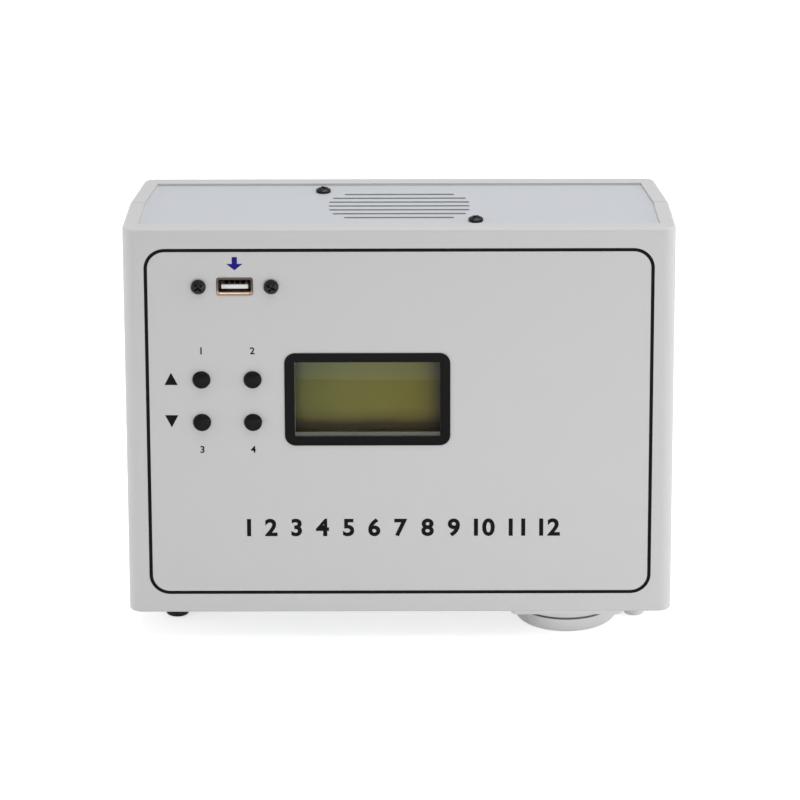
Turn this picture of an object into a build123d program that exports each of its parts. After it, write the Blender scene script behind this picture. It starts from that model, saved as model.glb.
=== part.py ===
from build123d import *
import os

# Programmable call clock in a two-shell instrument case that stands on end. Millimetres.
# X is the width, Y runs from the front face to the back, and +Z is up.
# The origin lies on the surface that the clock stands on, under the middle of its box.
# A "depth" is a distance behind the front face, and "rise" one above the face's middle.

# ---- Case: two drafted shells and two end panels that slide into grooves ----
case_height = 172.0
face_width = 228.6
front_draft = 2.2
rear_draft = 5.6
seam_depth = 32.0
wall = 2.6
rim = 6.5
face_corner = 5.0
back_corner = 4.0
end_rounding = 1.2
panel_recess = 1.0
panel_thickness = 2.0
panel_play = 0.2
panel_bite = 3.0
panel_corner = 2.5
groove_rib = 2.0
lip_thickness = 1.1
lip_depth = 1.8
lip_play = 0.15

# ---- Fasteners ----
fit_play = 0.05
pan_head_radius = 3.1
pan_head_height = 1.9
m3_radius = 1.5
small_head_radius = 2.2
small_head_height = 1.5
small_screw_radius = 1.1
head_edge_share = 0.35
cross_width = 0.8
cross_depth = 1.0
nut_flats = 5.5
nut_height = 2.4
screw_bite = 6.0
head_sides = 24
boss_sides = 18
hidden_sides = 12
cut_past = 1.0

# ---- Case screws in bosses that meet at the seam ----
boss_radius = 4.5
boss_side_inset = 8.0
boss_end_inset = 22.0
case_screw_well_radius = 3.6
case_screw_well = 14.0

# ---- Wall keyholes in the rear shell ----
keyhole_spread = 150.0
keyhole_rise = 45.0
keyhole_entry_radius = 4.0
keyhole_neck_radius = 2.1
keyhole_travel = 7.0

# ---- Display window and display module ----
window_from_buttons = 58.2
window_rise = 10.65
window_width = 60.3
window_height = 33.3
bezel_width = 68.8
bezel_height = 41.2
bezel_corner = 4.5
bezel_thickness = 0.4
lens_margin = 1.9
lens_thickness = 1.5
lens_play = 0.1
display_depth = 5.0
surround_margin = 3.0
lcd_frame_width = 69.0
lcd_frame_height = 41.0
lcd_frame_skin = 0.5
lcd_glass_thickness = 2.4
lcd_light_thickness = 2.6
lcd_board_width = 75.0
lcd_board_height = 52.7
board_thickness = 1.6
lcd_hole_spread_x = 70.0
lcd_hole_spread_z = 47.7
small_boss_radius = 2.4

# ---- Four push buttons over key switches ----
button_side_inset = 42.8
button_rise = 9.98
button_pitch_x = 21.2
button_pitch_z = 19.05
button_radius = 3.6
button_proud = 2.0
button_crown = 0.5
button_play = 0.2
button_collar_radius = 4.8
button_collar = 1.2
button_stem_radius = 2.4
button_stem = 2.6
button_travel = 0.8
plunger_radius = 1.7
plunger_length = 3.0
switch_side = 6.2
switch_height = 3.4
switch_floor = 0.4
key_board_width = 34.0
key_board_height = 35.0
key_screw_spread = 26.0

# ---- USB socket on a moulded carrier with two screws ----
usb_side_inset = 46.5
usb_rise = 60.8
usb_screw_spread = 30.0
usb_inner_width = 12.5
usb_inner_height = 5.1
usb_skin = 0.4
usb_flare_width = 14.7
usb_flare_height = 7.6
usb_flare_depth = 1.2
usb_proud = 0.3
usb_length = 14.0
usb_corner = 0.9
usb_tongue_width = 11.1
usb_tongue_thickness = 1.9
usb_tongue_drop = 0.45
usb_tongue_recess = 1.2
usb_contact_count = 4
usb_contact_recess = 0.6
usb_contact_width = 1.0
usb_contact_pitch = 2.3
usb_contact_height = 0.25
usb_carrier_width = 38.0
usb_carrier_height = 13.0
usb_carrier_thickness = 3.0
usb_carrier_back = 2.0
usb_ear_height = 10.4
usb_carrier_block = 17.5
usb_play = 0.2

# ---- Speaker under seven slots in the top panel ----
grille_lead = 0.55
slot_pitch = 4.65
slot_width = 1.6
slot_count = 7
grille_end_margin = 0.6
grille_side_margin = 0.8
grille_power = 3.0
speaker_screw_inset = 3.35
speaker_length = 70.0
speaker_side_room = 3.25
speaker_corner = 5.0
speaker_flange = 1.2
speaker_end_land = 5.0
speaker_side_land = 4.5
basket_drop = 12.0
basket_skin = 1.2
basket_taper = 20.0
magnet_radius = 16.0
magnet_height = 8.0
back_plate_radius = 14.5
back_plate_height = 2.0
pole_radius = 6.0
coil_hole_radius = 7.0
dust_cap_radius = 9.0
dust_cap_height = 2.4
cone_thickness = 0.6
cone_play = 0.3
cone_lift = 1.0

# ---- Main board on posts behind the display ----
board_side_gap = 1.5
board_rise = -6.0
board_width = 104.0
board_height = 94.0
board_margin = 5.0
post_height = 8.0
post_radius = 3.2

# ---- Parts on the main board, placed from its edges and its middle ----
terminal_pitch = 5.08
terminal_breadth = 8.0
terminal_height = 10.0
terminal_inset = 8.0
terminal_gap = 8.0
terminal_screw_radius = 1.9
terminal_mouth = 3.2
large_can_radius = 6.3
large_can_height = 21.0
small_can_radius = 4.0
small_can_height = 12.0
can_edge = 0.8
can_pitch = 16.0
can_side_inset = 14.0
can_top_inset = 25.0
coin_cell_radius = 10.0
coin_cell_thickness = 3.2
coin_holder_wall = 1.6
coin_holder_floor = 0.8
coin_side_inset = 16.0
coin_top_inset = 23.0
chip_x = -6.0
chip_rise = 10.0
chip_side = 12.0
chip_height = 1.8
leg_pitch = 1.1
leg_count = 10
leg_width = 0.5
leg_length = 1.4
leg_height = 0.4
sink_x = 6.0
sink_top_inset = 11.0
sink_width = 24.0
sink_breadth = 8.0
sink_height = 18.0
fin_count = 5
fin_gap = 2.4
fin_depth = 4.0
relay_x = 22.0
relay_rise = -16.0
relay_width = 19.0
relay_breadth = 15.4
relay_height = 15.6
relay_edge = 0.8
fuse_x = -10.0
fuse_rise = -14.0
fuse_base_breadth = 9.0
fuse_base_height = 3.0
fuse_length = 22.0
fuse_radius = 3.6
fuse_seat = 0.6

# ---- Mains transformer under a strap ----
transformer_side_inset = 36.0
transformer_rise = 18.0
core_width = 41.0
core_height = 34.0
core_stack = 16.0
core_leg = 6.8
coil_reach = 7.5
coil_play = 0.3
strap_thickness = 1.0
strap_foot = 9.0

# ---- Earthed mains outlet with a sprung lid, under the case ----
flange_margin = 2.15
flange_play = 0.5
flange_corner = 3.0
flange_thickness = 5.5
collar_radius = 21.8
collar_height = 2.4
seal_thickness = 0.9
seal_width = 1.2
seal_edge = 0.4
well_radius = 19.6
well_wall = 2.0
well_depth = 17.5
insert_thickness = 12.0
insert_play = 0.1
pin_pitch = 19.0
pin_hole_radius = 2.7
pin_mouth = 2.8
sleeve_wall = 0.8
sleeve_bore = 2.5
sleeve_drop = 1.0
earth_clip_width = 5.0
earth_clip_thickness = 0.8
earth_clip_reach = 2.2
earth_clip_length = 15.0
earth_clip_bow_share = 0.45
outlet_screw_inset = 4.75
screw_pocket_play = 0.3
lid_inset = 0.5
lid_thickness = 5.8
lid_skin = 2.0
lid_edge = 1.2
lid_rim = 3.2
hinge_clearance = 2.4
hinge_rise = 0.2
hinge_pin_radius = 1.0
knuckle_radius = 2.2
lug_width = 3.0
knuckle_width = 3.6
knuckle_gap = 0.3
knuckle_root = 5.0
hinge_half_length = 12.0
spring_wire = 0.6
spring_turns = 5

# ---- Two cable glands under the case ----
mains_gland_play = 1.1
mains_flange_gap = 0.45
mains_gland_flats = 10.0
mains_thread_radius = 4.4
mains_tip_radius = 4.4
mains_lead_radius = 2.9
audio_gland_inset = 10.7
audio_gland_flats = 14.0
audio_thread_radius = 5.9
audio_tip_radius = 4.9
audio_lead_radius = 2.5
gland_tail = 9.0
gland_collar = 3.6
gland_cap_hex = 4.4
gland_nut_height = 3.0
gland_tip_height = 2.6
gland_tip_edge = 0.8
gland_seal_wall = 0.9

# ---- Sizes worked out from those above: the flange fills the end opening's depth ----
flange_side = 2 * (well_radius + well_wall + flange_margin)
case_depth = flange_side + 2 * (rim + flange_play)
seam_width = face_width - 2 * front_draft
back_width = seam_width - 2 * rear_draft
boss_spread_x = back_width - 2 * boss_side_inset
boss_spread_z = case_height - 2 * boss_end_inset
case_screw_grip = case_depth - case_screw_well - seam_depth + screw_bite
button_x = button_side_inset - face_width / 2
window_x = button_x + window_from_buttons
usb_x = usb_side_inset - face_width / 2
transformer_x = back_width / 2 - transformer_side_inset
strap_half_length = core_width / 2 + strap_thickness + strap_foot
board_x = transformer_x - strap_half_length - board_side_gap - board_width / 2
speaker_breadth = case_depth - 2 * (rim + speaker_side_room)
cone_length = speaker_length - 2 * speaker_end_land
cone_breadth = speaker_breadth - 2 * speaker_side_land
grille_half_length = cone_length / 2 - grille_end_margin
grille_half_depth = cone_breadth / 2 + grille_side_margin
speaker_screw_x = speaker_length / 2 - speaker_screw_inset
speaker_screw_y = speaker_breadth / 2 - speaker_screw_inset
lid_radius = collar_radius - lid_inset
hinge_setback = collar_radius + hinge_clearance
outlet_screw_spread = flange_side - 2 * outlet_screw_inset


def half_width(depth):
    """Outer half width of the drafted case at a depth."""
    if depth <= seam_depth:
        return (face_width - (face_width - seam_width) * depth / seam_depth) / 2
    share = (depth - seam_depth) / (case_depth - seam_depth)
    return (seam_width - (seam_width - back_width) * share) / 2


# ---- Places worked out from the sizes above ----
outlet_depth = case_depth / 2
grille_depth = case_depth / 2 - grille_lead
opening_edge = half_width(outlet_depth) - rim
mains_gland_x = opening_edge - mains_gland_play - mains_gland_flats / 2
outlet_x = mains_gland_x - mains_gland_flats / 2 - mains_flange_gap - flange_side / 2
audio_gland_x = audio_gland_inset - opening_edge
front_reach = max(button_proud, pan_head_height)
face_y = (front_reach - case_depth) / 2
panel_under = lid_thickness + seal_thickness + collar_height + flange_thickness
case_bottom = panel_under - panel_recess
case_top = case_bottom + case_height
mid_z = (case_bottom + case_top) / 2
groove_height = panel_thickness + panel_play
end_zone = panel_recess + groove_height + groove_rib
groove_floor = rim - panel_bite
panel_inset = groove_floor + panel_play
bottom_panel_top = panel_under + panel_thickness
top_panel_top = case_top - panel_recess
top_panel_under = top_panel_top - panel_thickness
rear_inside = case_depth - wall
post_top = rear_inside - post_height
board_front = post_top - board_thickness
lcd_board_depth = display_depth + lcd_frame_skin + lcd_glass_thickness + lcd_light_thickness
stem_end = wall + fit_play + button_collar + button_stem
switch_top = stem_end + button_travel + fit_play
key_board_depth = switch_top + switch_height
outlet_y = face_y + outlet_depth
collar_face = lid_thickness + seal_thickness
flange_face = collar_face + collar_height
well_floor = collar_face + well_depth
insert_top = well_floor + insert_thickness
hinge_y = outlet_y + hinge_setback
hinge_z = lid_thickness + hinge_rise
glands = {
    "mains": (
        mains_gland_x, mains_gland_flats, mains_thread_radius, mains_tip_radius, mains_lead_radius
    ),
    "audio": (
        audio_gland_x, audio_gland_flats, audio_thread_radius, audio_tip_radius, audio_lead_radius
    ),
}

button_places = [
    (button_x + side * button_pitch_x / 2, mid_z + button_rise + up * button_pitch_z / 2)
    for up in (1, -1)
    for side in (-1, 1)
]


def y_at(depth):
    """Y of a point this far behind the front face."""
    return face_y + depth


def along_y(sketch, x, z, front, back):
    """A sketch, seen from the front, run from one depth to another."""
    return Pos(x, y_at(back), z) * Rot(90, 0, 0) * extrude(sketch, back - front)


def along_z(sketch, x, y, low, high):
    """A sketch in plan, run from one height to another."""
    return Pos(x, y, low) * extrude(sketch, high - low)


def along_x(sketch, y, z, left, right):
    """A sketch in the side view, run from left to right."""
    side_view = Plane(origin=(left, y, z), x_dir=(0, 1, 0), z_dir=(1, 0, 0))
    return side_view * extrude(sketch, right - left)


def corners(spread_a, spread_b):
    """The four corners of a rectangle about its middle."""
    return [(a * spread_a / 2, b * spread_b / 2) for a in (-1, 1) for b in (-1, 1)]


def ring(outer, inner):
    """A flat ring."""
    return Circle(outer) - Circle(inner)


def few_sided(radius, sides):
    """A nearly round outline for what repeats; its corners lie at the radius."""
    return RegularPolygon(radius, sides)


def screw_hole(radius):
    """A nearly round hole; its flats lie at the radius, so that no shank meets them."""
    return RegularPolygon(radius, hidden_sides, major_radius=False)


def plain_screw(head_radius, head_height, shank_radius, length, sides=hidden_sides):
    """A flat-headed inner screw with its head up and its shank down from the origin."""
    head = extrude(few_sided(head_radius, sides), head_height)
    return head + Pos(0, 0, -length) * extrude(few_sided(shank_radius, hidden_sides), length)


def pan_screw(length):
    """A cross-head M3 pan screw, placed as the plain one is."""
    screw = plain_screw(pan_head_radius, pan_head_height, m3_radius, length, head_sides)
    screw = chamfer(screw.edges().group_by(Axis.Z)[-1], pan_head_height * head_edge_share)
    slot = Rectangle(pan_head_radius, cross_width) + Rectangle(cross_width, pan_head_radius)
    return screw - Pos(0, 0, pan_head_height - cross_depth) * extrude(slot, cross_depth)


def hexagon(flats):
    """A hexagon with two of its flats square to X."""
    return RegularPolygon(flats / 2, 6, major_radius=False, rotation=30)


def hex_nut(flats, height, bore):
    """A hexagon nut with its lower face at the origin."""
    return extrude(hexagon(flats) - screw_hole(bore), height)


def case_plan(front, back, inset):
    """Plan outline of the case between two depths, drawn in from its sides."""
    kink = [seam_depth] if front < seam_depth < back else []
    right = [(half_width(depth) - inset, y_at(depth)) for depth in (front, *kink, back)]
    left = [(-x, y) for x, y in reversed(right)]
    return make_face(Polyline(*right, *left, close=True))


def hollow_shell(body, front, back):
    """Cuts the cavity, the end openings and the two panel grooves into one shell."""
    inner_front = max(front, wall)
    inner_back = min(back, rear_inside)
    body -= along_z(
        case_plan(inner_front, inner_back, wall), 0, 0, case_bottom + end_zone, case_top - end_zone
    )
    open_front = max(front, rim)
    open_back = min(back, case_depth - rim)
    opening = case_plan(open_front, open_back, rim)
    body -= along_z(opening, 0, 0, case_bottom - cut_past, case_top + cut_past)
    groove_front = max(front, groove_floor)
    groove_back = min(back, case_depth - groove_floor)
    groove = case_plan(groove_front, groove_back, groove_floor)
    for low in (case_bottom + panel_recess, case_top - panel_recess - groove_height):
        body -= along_z(groove, 0, 0, low, low + groove_height)
    return body


def round_end_edges(body, seam_side):
    """Rounds the outer edges of a shell's two ends, but not those at the seam."""
    seam_y = y_at(seam_depth)
    for end in (0, -1):
        face = body.faces().sort_by(Axis.Z)[end]
        outer = [edge for edge in face.edges() if (edge.center().Y - seam_y) * seam_side > 0.01]
        body = fillet(outer, end_rounding)
    return body


def seam_lip(inset_in, inset_out, reach):
    """The strip along each side wall that locks the shells at the seam."""
    low = case_bottom + end_zone
    high = case_top - end_zone
    front = seam_depth - reach
    outer = along_z(case_plan(front, seam_depth, inset_out), 0, 0, low, high)
    return outer - along_z(case_plan(front, seam_depth, inset_in), 0, 0, low, high)


def case_boss_places():
    return [(x, mid_z + z) for x, z in corners(boss_spread_x, boss_spread_z)]


def display_screw_places():
    spots = corners(lcd_hole_spread_x, lcd_hole_spread_z)
    return [(window_x + x, mid_z + window_rise + z) for x, z in spots]


def key_screw_places():
    rise = mid_z + button_rise
    return [(button_x, rise + side * key_screw_spread / 2) for side in (-1, 1)]


def usb_screw_places():
    return [(usb_x + side * usb_screw_spread / 2, mid_z + usb_rise) for side in (-1, 1)]


def speaker_screw_places():
    middle = y_at(grille_depth)
    return [(side * speaker_screw_x, middle - side * speaker_screw_y) for side in (-1, 1)]


def outlet_screw_places():
    spots = corners(outlet_screw_spread, outlet_screw_spread)
    return [(outlet_x + x, outlet_y + y) for x, y in spots]


def main_board_screw_places():
    spots = corners(board_width - 2 * board_margin, board_height - 2 * board_margin)
    return [(board_x + x, mid_z + board_rise + z) for x, z in spots]


def transformer_screw_places():
    reach = strap_half_length - strap_foot / 2
    return [(transformer_x + side * reach, mid_z + transformer_rise) for side in (-1, 1)]


def front_shell():
    body = along_z(case_plan(0, seam_depth, 0), 0, 0, case_bottom, case_top)
    body = fillet(body.edges().filter_by(Axis.Z).group_by(Axis.Y)[0], face_corner)
    body = round_end_edges(body, -1)
    body = hollow_shell(body, 0, seam_depth)
    body -= seam_lip(wall, wall - lip_thickness - lip_play, lip_depth + lip_play)
    for x, z in case_boss_places():
        body += along_y(few_sided(boss_radius, boss_sides), x, z, wall / 2, seam_depth)
        pilot = screw_hole(m3_radius + fit_play)
        body -= along_y(pilot, x, z, seam_depth - screw_bite * 2, seam_depth)
    window_z = mid_z + window_rise
    surround = Rectangle(
        window_width + 2 * surround_margin, window_height + 2 * surround_margin
    )
    body += along_y(surround, window_x, window_z, wall / 2, display_depth)
    small_boss = few_sided(small_boss_radius, boss_sides)
    small_pilot = screw_hole(small_screw_radius + fit_play)
    for x, z in display_screw_places():
        body += along_y(small_boss, x, z, wall / 2, lcd_board_depth)
        body -= along_y(small_pilot, x, z, wall, lcd_board_depth)
    for x, z in key_screw_places():
        body += along_y(small_boss, x, z, wall / 2, key_board_depth)
        body -= along_y(small_pilot, x, z, wall, key_board_depth)
    lens_width = window_width + 2 * lens_margin
    lens_height = window_height + 2 * lens_margin
    window = Rectangle(window_width, window_height)
    behind_wall = wall + cut_past
    body -= along_y(window, window_x, window_z, -cut_past, display_depth + cut_past)
    lens_seat = Rectangle(lens_width, lens_height)
    body -= along_y(lens_seat, window_x, window_z, -cut_past, lens_thickness)
    for x, z in button_places:
        body -= along_y(Circle(button_radius + button_play), x, z, -cut_past, behind_wall)
    for x, z in usb_screw_places():
        body -= along_y(screw_hole(m3_radius + fit_play), x, z, -cut_past, behind_wall)
    usb_cut = RectangleRounded(
        usb_flare_width + 2 * usb_play, usb_flare_height + 2 * usb_play, usb_corner + usb_play
    )
    body -= along_y(usb_cut, usb_x, mid_z + usb_rise, -cut_past, behind_wall)
    return body


def keyhole():
    """Round entry below, narrow neck above, as seen from the front."""
    neck = Rectangle(2 * keyhole_neck_radius, keyhole_travel)
    neck = Pos(0, keyhole_travel / 2) * neck
    top = Pos(0, keyhole_travel) * Circle(keyhole_neck_radius)
    return Circle(keyhole_entry_radius) + neck + top


def rear_shell():
    body = along_z(case_plan(seam_depth, case_depth, 0), 0, 0, case_bottom, case_top)
    body = fillet(body.edges().filter_by(Axis.Z).group_by(Axis.Y)[-1], back_corner)
    body = round_end_edges(body, 1)
    body = hollow_shell(body, seam_depth, case_depth)
    body += seam_lip(wall, wall - lip_thickness, lip_depth)
    for x, z in case_boss_places():
        boss = few_sided(boss_radius, boss_sides)
        body += along_y(boss, x, z, seam_depth, rear_inside + wall / 2)
        body -= along_y(screw_hole(m3_radius + fit_play), x, z, seam_depth, case_depth)
        well = Circle(case_screw_well_radius)
        body -= along_y(well, x, z, case_depth - case_screw_well, case_depth + cut_past)
    post = few_sided(post_radius, boss_sides)
    for x, z in main_board_screw_places():
        body += along_y(post, x, z, post_top, rear_inside + wall / 2)
        pilot = screw_hole(small_screw_radius + fit_play)
        body -= along_y(pilot, x, z, post_top, rear_inside)
    foot_seat = rear_inside - strap_foot
    for x, z in transformer_screw_places():
        body += along_y(post, x, z, foot_seat, rear_inside + wall / 2)
        body -= along_y(screw_hole(m3_radius + fit_play), x, z, foot_seat, rear_inside)
    for side in (-1, 1):
        x = side * keyhole_spread / 2
        z = mid_z + keyhole_rise
        body -= along_y(keyhole(), x, z, rear_inside - cut_past, case_depth + cut_past)
    return body


def blank_panel(low):
    """An end panel before its holes are cut."""
    outline = case_plan(panel_inset, case_depth - panel_inset, panel_inset)
    panel = along_z(outline, 0, 0, low, low + panel_thickness)
    upright = panel.edges().filter_by(Axis.Z).group_by(Axis.Y)
    return fillet(upright[0] + upright[-1], panel_corner)


def top_panel():
    panel = blank_panel(top_panel_under)
    low = top_panel_under - cut_past
    high = top_panel_top + cut_past
    middle = y_at(grille_depth)
    for index in range(slot_count):
        offset = (index - (slot_count - 1) / 2) * slot_pitch
        share = (abs(offset) / grille_half_depth) ** grille_power
        half_length = grille_half_length * (1 - share) ** (1 / grille_power)
        slot = SlotOverall(2 * half_length, slot_width)
        panel -= along_z(slot, 0, middle + offset, low, high)
    for x, y in speaker_screw_places():
        panel -= along_z(screw_hole(m3_radius + fit_play), x, y, low, high)
    return panel


def bottom_panel():
    panel = blank_panel(panel_under)
    low = panel_under - cut_past
    high = bottom_panel_top + cut_past
    well = Circle(well_radius + well_wall + insert_play)
    panel -= along_z(well, outlet_x, outlet_y, low, high)
    for x, y in outlet_screw_places():
        panel -= along_z(screw_hole(m3_radius + fit_play), x, y, low, high)
    for x, flats, thread_radius, tip_radius, lead_radius in glands.values():
        panel -= along_z(Circle(thread_radius + fit_play), x, outlet_y, low, high)
    return panel


def case_screws():
    screw = pan_screw(case_screw_grip)
    seat = y_at(case_depth - case_screw_well)
    return [Pos(x, seat, z) * Rot(-90, 0, 0) * screw for x, z in case_boss_places()]


def window_bezel():
    outline = RectangleRounded(bezel_width, bezel_height, bezel_corner)
    outline -= Rectangle(window_width, window_height)
    return along_y(outline, window_x, mid_z + window_rise, -bezel_thickness, 0)


def window_lens():
    margin = 2 * (lens_margin - lens_play)
    pane = Rectangle(window_width + margin, window_height + margin)
    return along_y(pane, window_x, mid_z + window_rise, 0, lens_thickness)


def lcd_frame():
    """Folded steel frame around the display glass, with a sight opening."""
    x = window_x
    z = mid_z + window_rise
    back = lcd_board_depth
    frame = along_y(Rectangle(lcd_frame_width, lcd_frame_height), x, z, display_depth, back)
    inside = Rectangle(lcd_frame_width - 2 * lcd_frame_skin, lcd_frame_height - 2 * lcd_frame_skin)
    frame -= along_y(inside, x, z, display_depth + lcd_frame_skin, back)
    sight = Rectangle(window_width + lcd_frame_skin, window_height + lcd_frame_skin)
    return frame - along_y(sight, x, z, display_depth - cut_past, back)


def lcd_layer(front, thickness):
    """A layer that fills the frame of the display."""
    margin = 2 * (lcd_frame_skin + fit_play)
    layer = Rectangle(lcd_frame_width - margin, lcd_frame_height - margin)
    return along_y(layer, window_x, mid_z + window_rise, front, front + thickness)


def board_with_holes(width, height, x, z, front, holes, hole_radius):
    """A circuit board with its screw holes."""
    back = front + board_thickness
    board = along_y(Rectangle(width, height), x, z, front, back)
    for hole_x, hole_z in holes:
        board -= along_y(screw_hole(hole_radius), hole_x, hole_z, front - cut_past, back + cut_past)
    return board


def board_screws():
    """The small screws of the display, key and main boards."""
    screw = plain_screw(small_head_radius, small_head_height, small_screw_radius, screw_bite)
    display_back = y_at(lcd_board_depth + board_thickness)
    key_back = y_at(key_board_depth + board_thickness)
    from_behind = Rot(-90, 0, 0) * screw
    screws = [Pos(x, display_back, z) * from_behind for x, z in display_screw_places()]
    screws += [Pos(x, key_back, z) * from_behind for x, z in key_screw_places()]
    from_front = Rot(90, 0, 0) * screw
    main_front = y_at(board_front)
    return screws + [Pos(x, main_front, z) * from_front for x, z in main_board_screw_places()]


def button_cap(x, z):
    """A domed cap with a collar behind the front wall and a stem to its switch."""
    cap = along_y(Circle(button_radius), x, z, -button_proud, wall + fit_play)
    cap = chamfer(cap.edges().group_by(Axis.Y)[0], button_crown)
    collar_front = wall + fit_play
    collar_back = collar_front + button_collar
    collar = few_sided(button_collar_radius, boss_sides)
    cap += along_y(collar, x, z, collar_front, collar_back)
    cap += along_y(few_sided(button_stem_radius, boss_sides), x, z, collar_back, stem_end)
    return cap


def switch_plunger(x, z):
    """The part of a key switch that its cap pushes in."""
    plunger = few_sided(plunger_radius, hidden_sides)
    return along_y(plunger, x, z, stem_end, stem_end + plunger_length - button_travel)


def key_switches():
    """The four switch bodies, each with a guide for its plunger."""
    bodies = []
    guide = screw_hole(plunger_radius + fit_play)
    for x, z in button_places:
        switch = along_y(Rectangle(switch_side, switch_side), x, z, switch_top, key_board_depth)
        switch -= along_y(guide, x, z, switch_top - cut_past, key_board_depth - switch_floor)
        bodies.append(switch)
    return bodies


def usb_tube(flare_width, flare_height, width, height, front, back, corner):
    """A rectangular tube core that widens towards its mouth."""
    z = mid_z + usb_rise
    tube = along_y(RectangleRounded(width, height, corner), usb_x, z, front, back)
    mouth = Plane(origin=(usb_x, y_at(front), z), x_dir=(1, 0, 0), z_dir=(0, -1, 0))
    throat = Plane(
        origin=(usb_x, y_at(front + usb_flare_depth), z), x_dir=(1, 0, 0), z_dir=(0, -1, 0)
    )
    wide = mouth * RectangleRounded(flare_width, flare_height, corner)
    narrow = throat * RectangleRounded(width, height, corner)
    return tube + loft([wide, narrow])


def usb_shell():
    outer = usb_tube(
        usb_flare_width, usb_flare_height,
        usb_inner_width + 2 * usb_skin, usb_inner_height + 2 * usb_skin,
        -usb_proud, usb_length, usb_corner,
    )
    inner = usb_tube(
        usb_flare_width - 2 * usb_skin, usb_flare_height - 2 * usb_skin,
        usb_inner_width, usb_inner_height,
        -usb_proud, usb_length - usb_skin, usb_corner - usb_skin,
    )
    return outer - inner


def usb_tongue():
    z = mid_z + usb_rise - usb_tongue_drop
    tongue = Rectangle(usb_tongue_width, usb_tongue_thickness)
    return along_y(tongue, usb_x, z, usb_tongue_recess, usb_length - usb_skin)


def usb_contacts():
    z = mid_z + usb_rise - usb_tongue_drop + (usb_tongue_thickness + usb_contact_height) / 2
    strip = Rectangle(usb_contact_width, usb_contact_height)
    front = usb_tongue_recess + usb_contact_recess
    half_row = (usb_contact_count - 1) / 2 * usb_contact_pitch
    places = [usb_x - half_row + index * usb_contact_pitch for index in range(usb_contact_count)]
    return [along_y(strip, x, z, front, usb_length - usb_skin) for x in places]


def usb_carrier():
    """Moulded block that holds the socket and takes its two screws."""
    z = mid_z + usb_rise
    ear_back = wall + usb_carrier_thickness
    ears = Rectangle(usb_carrier_width, usb_ear_height)
    carrier = along_y(ears, usb_x, z, wall, ear_back)
    block = Rectangle(usb_carrier_block, usb_carrier_height)
    carrier += along_y(block, usb_x, z, wall, usb_length + usb_carrier_back)
    margin = 2 * (usb_skin + fit_play)
    hole = Rectangle(usb_inner_width + margin, usb_inner_height + margin)
    carrier -= along_y(hole, usb_x, z, wall - cut_past, usb_length + fit_play)
    for x, screw_z in usb_screw_places():
        screw_room = screw_hole(m3_radius + fit_play)
        carrier -= along_y(screw_room, x, screw_z, wall - cut_past, ear_back + cut_past)
    return carrier


def usb_screws():
    grip = wall + usb_carrier_thickness + nut_height
    screw = pan_screw(grip)
    return [Pos(x, face_y, z) * Rot(90, 0, 0) * screw for x, z in usb_screw_places()]


def speaker_frame():
    """Pressed frame: a flat flange and a racetrack basket that tapers to its floor."""
    y = y_at(grille_depth)
    under_flange = top_panel_under - speaker_flange
    floor = top_panel_under - basket_drop
    flange = RectangleRounded(speaker_length, speaker_breadth, speaker_corner)
    frame = along_z(flange, 0, y, under_flange, top_panel_under)
    outline = SlotOverall(cone_length, cone_breadth)
    hollow = tapered_down(outline, y, under_flange, floor)
    skin = tapered_down(offset(outline, basket_skin), y, under_flange, floor - basket_skin)
    frame += skin - hollow - along_z(Circle(coil_hole_radius), 0, y, floor - basket_skin, floor)
    frame -= along_z(outline, 0, y, under_flange, top_panel_under)
    for x, screw_y in speaker_screw_places():
        hole = screw_hole(m3_radius + fit_play)
        frame -= along_z(hole, x, screw_y, under_flange, top_panel_under)
    return frame


def tapered_down(outline, y, high, low):
    """An outline that narrows on its way down from one height to another."""
    return Pos(0, y, high) * extrude(outline, low - high, taper=basket_taper)


def speaker_cone():
    """Paper cone as a tapered racetrack, with a round dust cap in its middle."""
    y = y_at(grille_depth)
    high = top_panel_under - speaker_flange
    low = top_panel_under - basket_drop + cone_lift
    outline = SlotOverall(cone_length - 2 * cone_play, cone_breadth - 2 * cone_play)
    cone = tapered_down(outline, y, high, low)
    cone -= tapered_down(offset(outline, -cone_thickness), y, high, low + cone_thickness)
    cap = Pos(0, y, low) * extrude(Circle(dust_cap_radius), dust_cap_height, taper=basket_taper)
    return cone + cap


def speaker_magnet():
    """Ring magnet with its back plate, and the pole that stands in the voice coil."""
    y = y_at(grille_depth)
    top = top_panel_under - basket_drop - basket_skin
    low = top - magnet_height
    magnet = along_z(Circle(magnet_radius), 0, y, low, top)
    plate = along_z(Circle(back_plate_radius), 0, y, low - back_plate_height, low)
    pole = along_z(Circle(pole_radius), 0, y, top, top + basket_skin + cone_lift / 2)
    return magnet + plate + pole


def speaker_screws():
    grip = panel_thickness + speaker_flange + nut_height
    screw = pan_screw(grip)
    return [Pos(x, y, top_panel_top) * screw for x, y in speaker_screw_places()]


def on_board(sketch, x, rise, height):
    """A part that stands on the front of the main board, placed from the board's middle."""
    return along_y(sketch, board_x + x, mid_z + board_rise + rise, board_front - height, board_front)


def terminal_blocks():
    """Three screw terminals along the lower edge, each with a lead hole per pole."""
    rise = terminal_inset - board_height / 2
    mouth_depth = y_at(board_front - terminal_height / 2)
    mouth_low = mid_z + board_rise + rise - terminal_breadth / 2
    blocks = []
    for x, poles in terminal_places():
        block = on_board(Rectangle(poles * terminal_pitch, terminal_breadth), x, rise, terminal_height)
        for pole in range(poles):
            pole_x = x + (pole - (poles - 1) / 2) * terminal_pitch
            screw = few_sided(terminal_screw_radius, hidden_sides)
            screw_room = on_board(screw, pole_x, rise, terminal_height)
            block -= Pos(0, terminal_screw_radius - terminal_height, 0) * screw_room
            mouth = Rectangle(terminal_mouth, terminal_mouth)
            block -= along_z(
                mouth, board_x + pole_x, mouth_depth, mouth_low, mouth_low + terminal_mouth
            )
        blocks.append(block)
    return blocks


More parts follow.
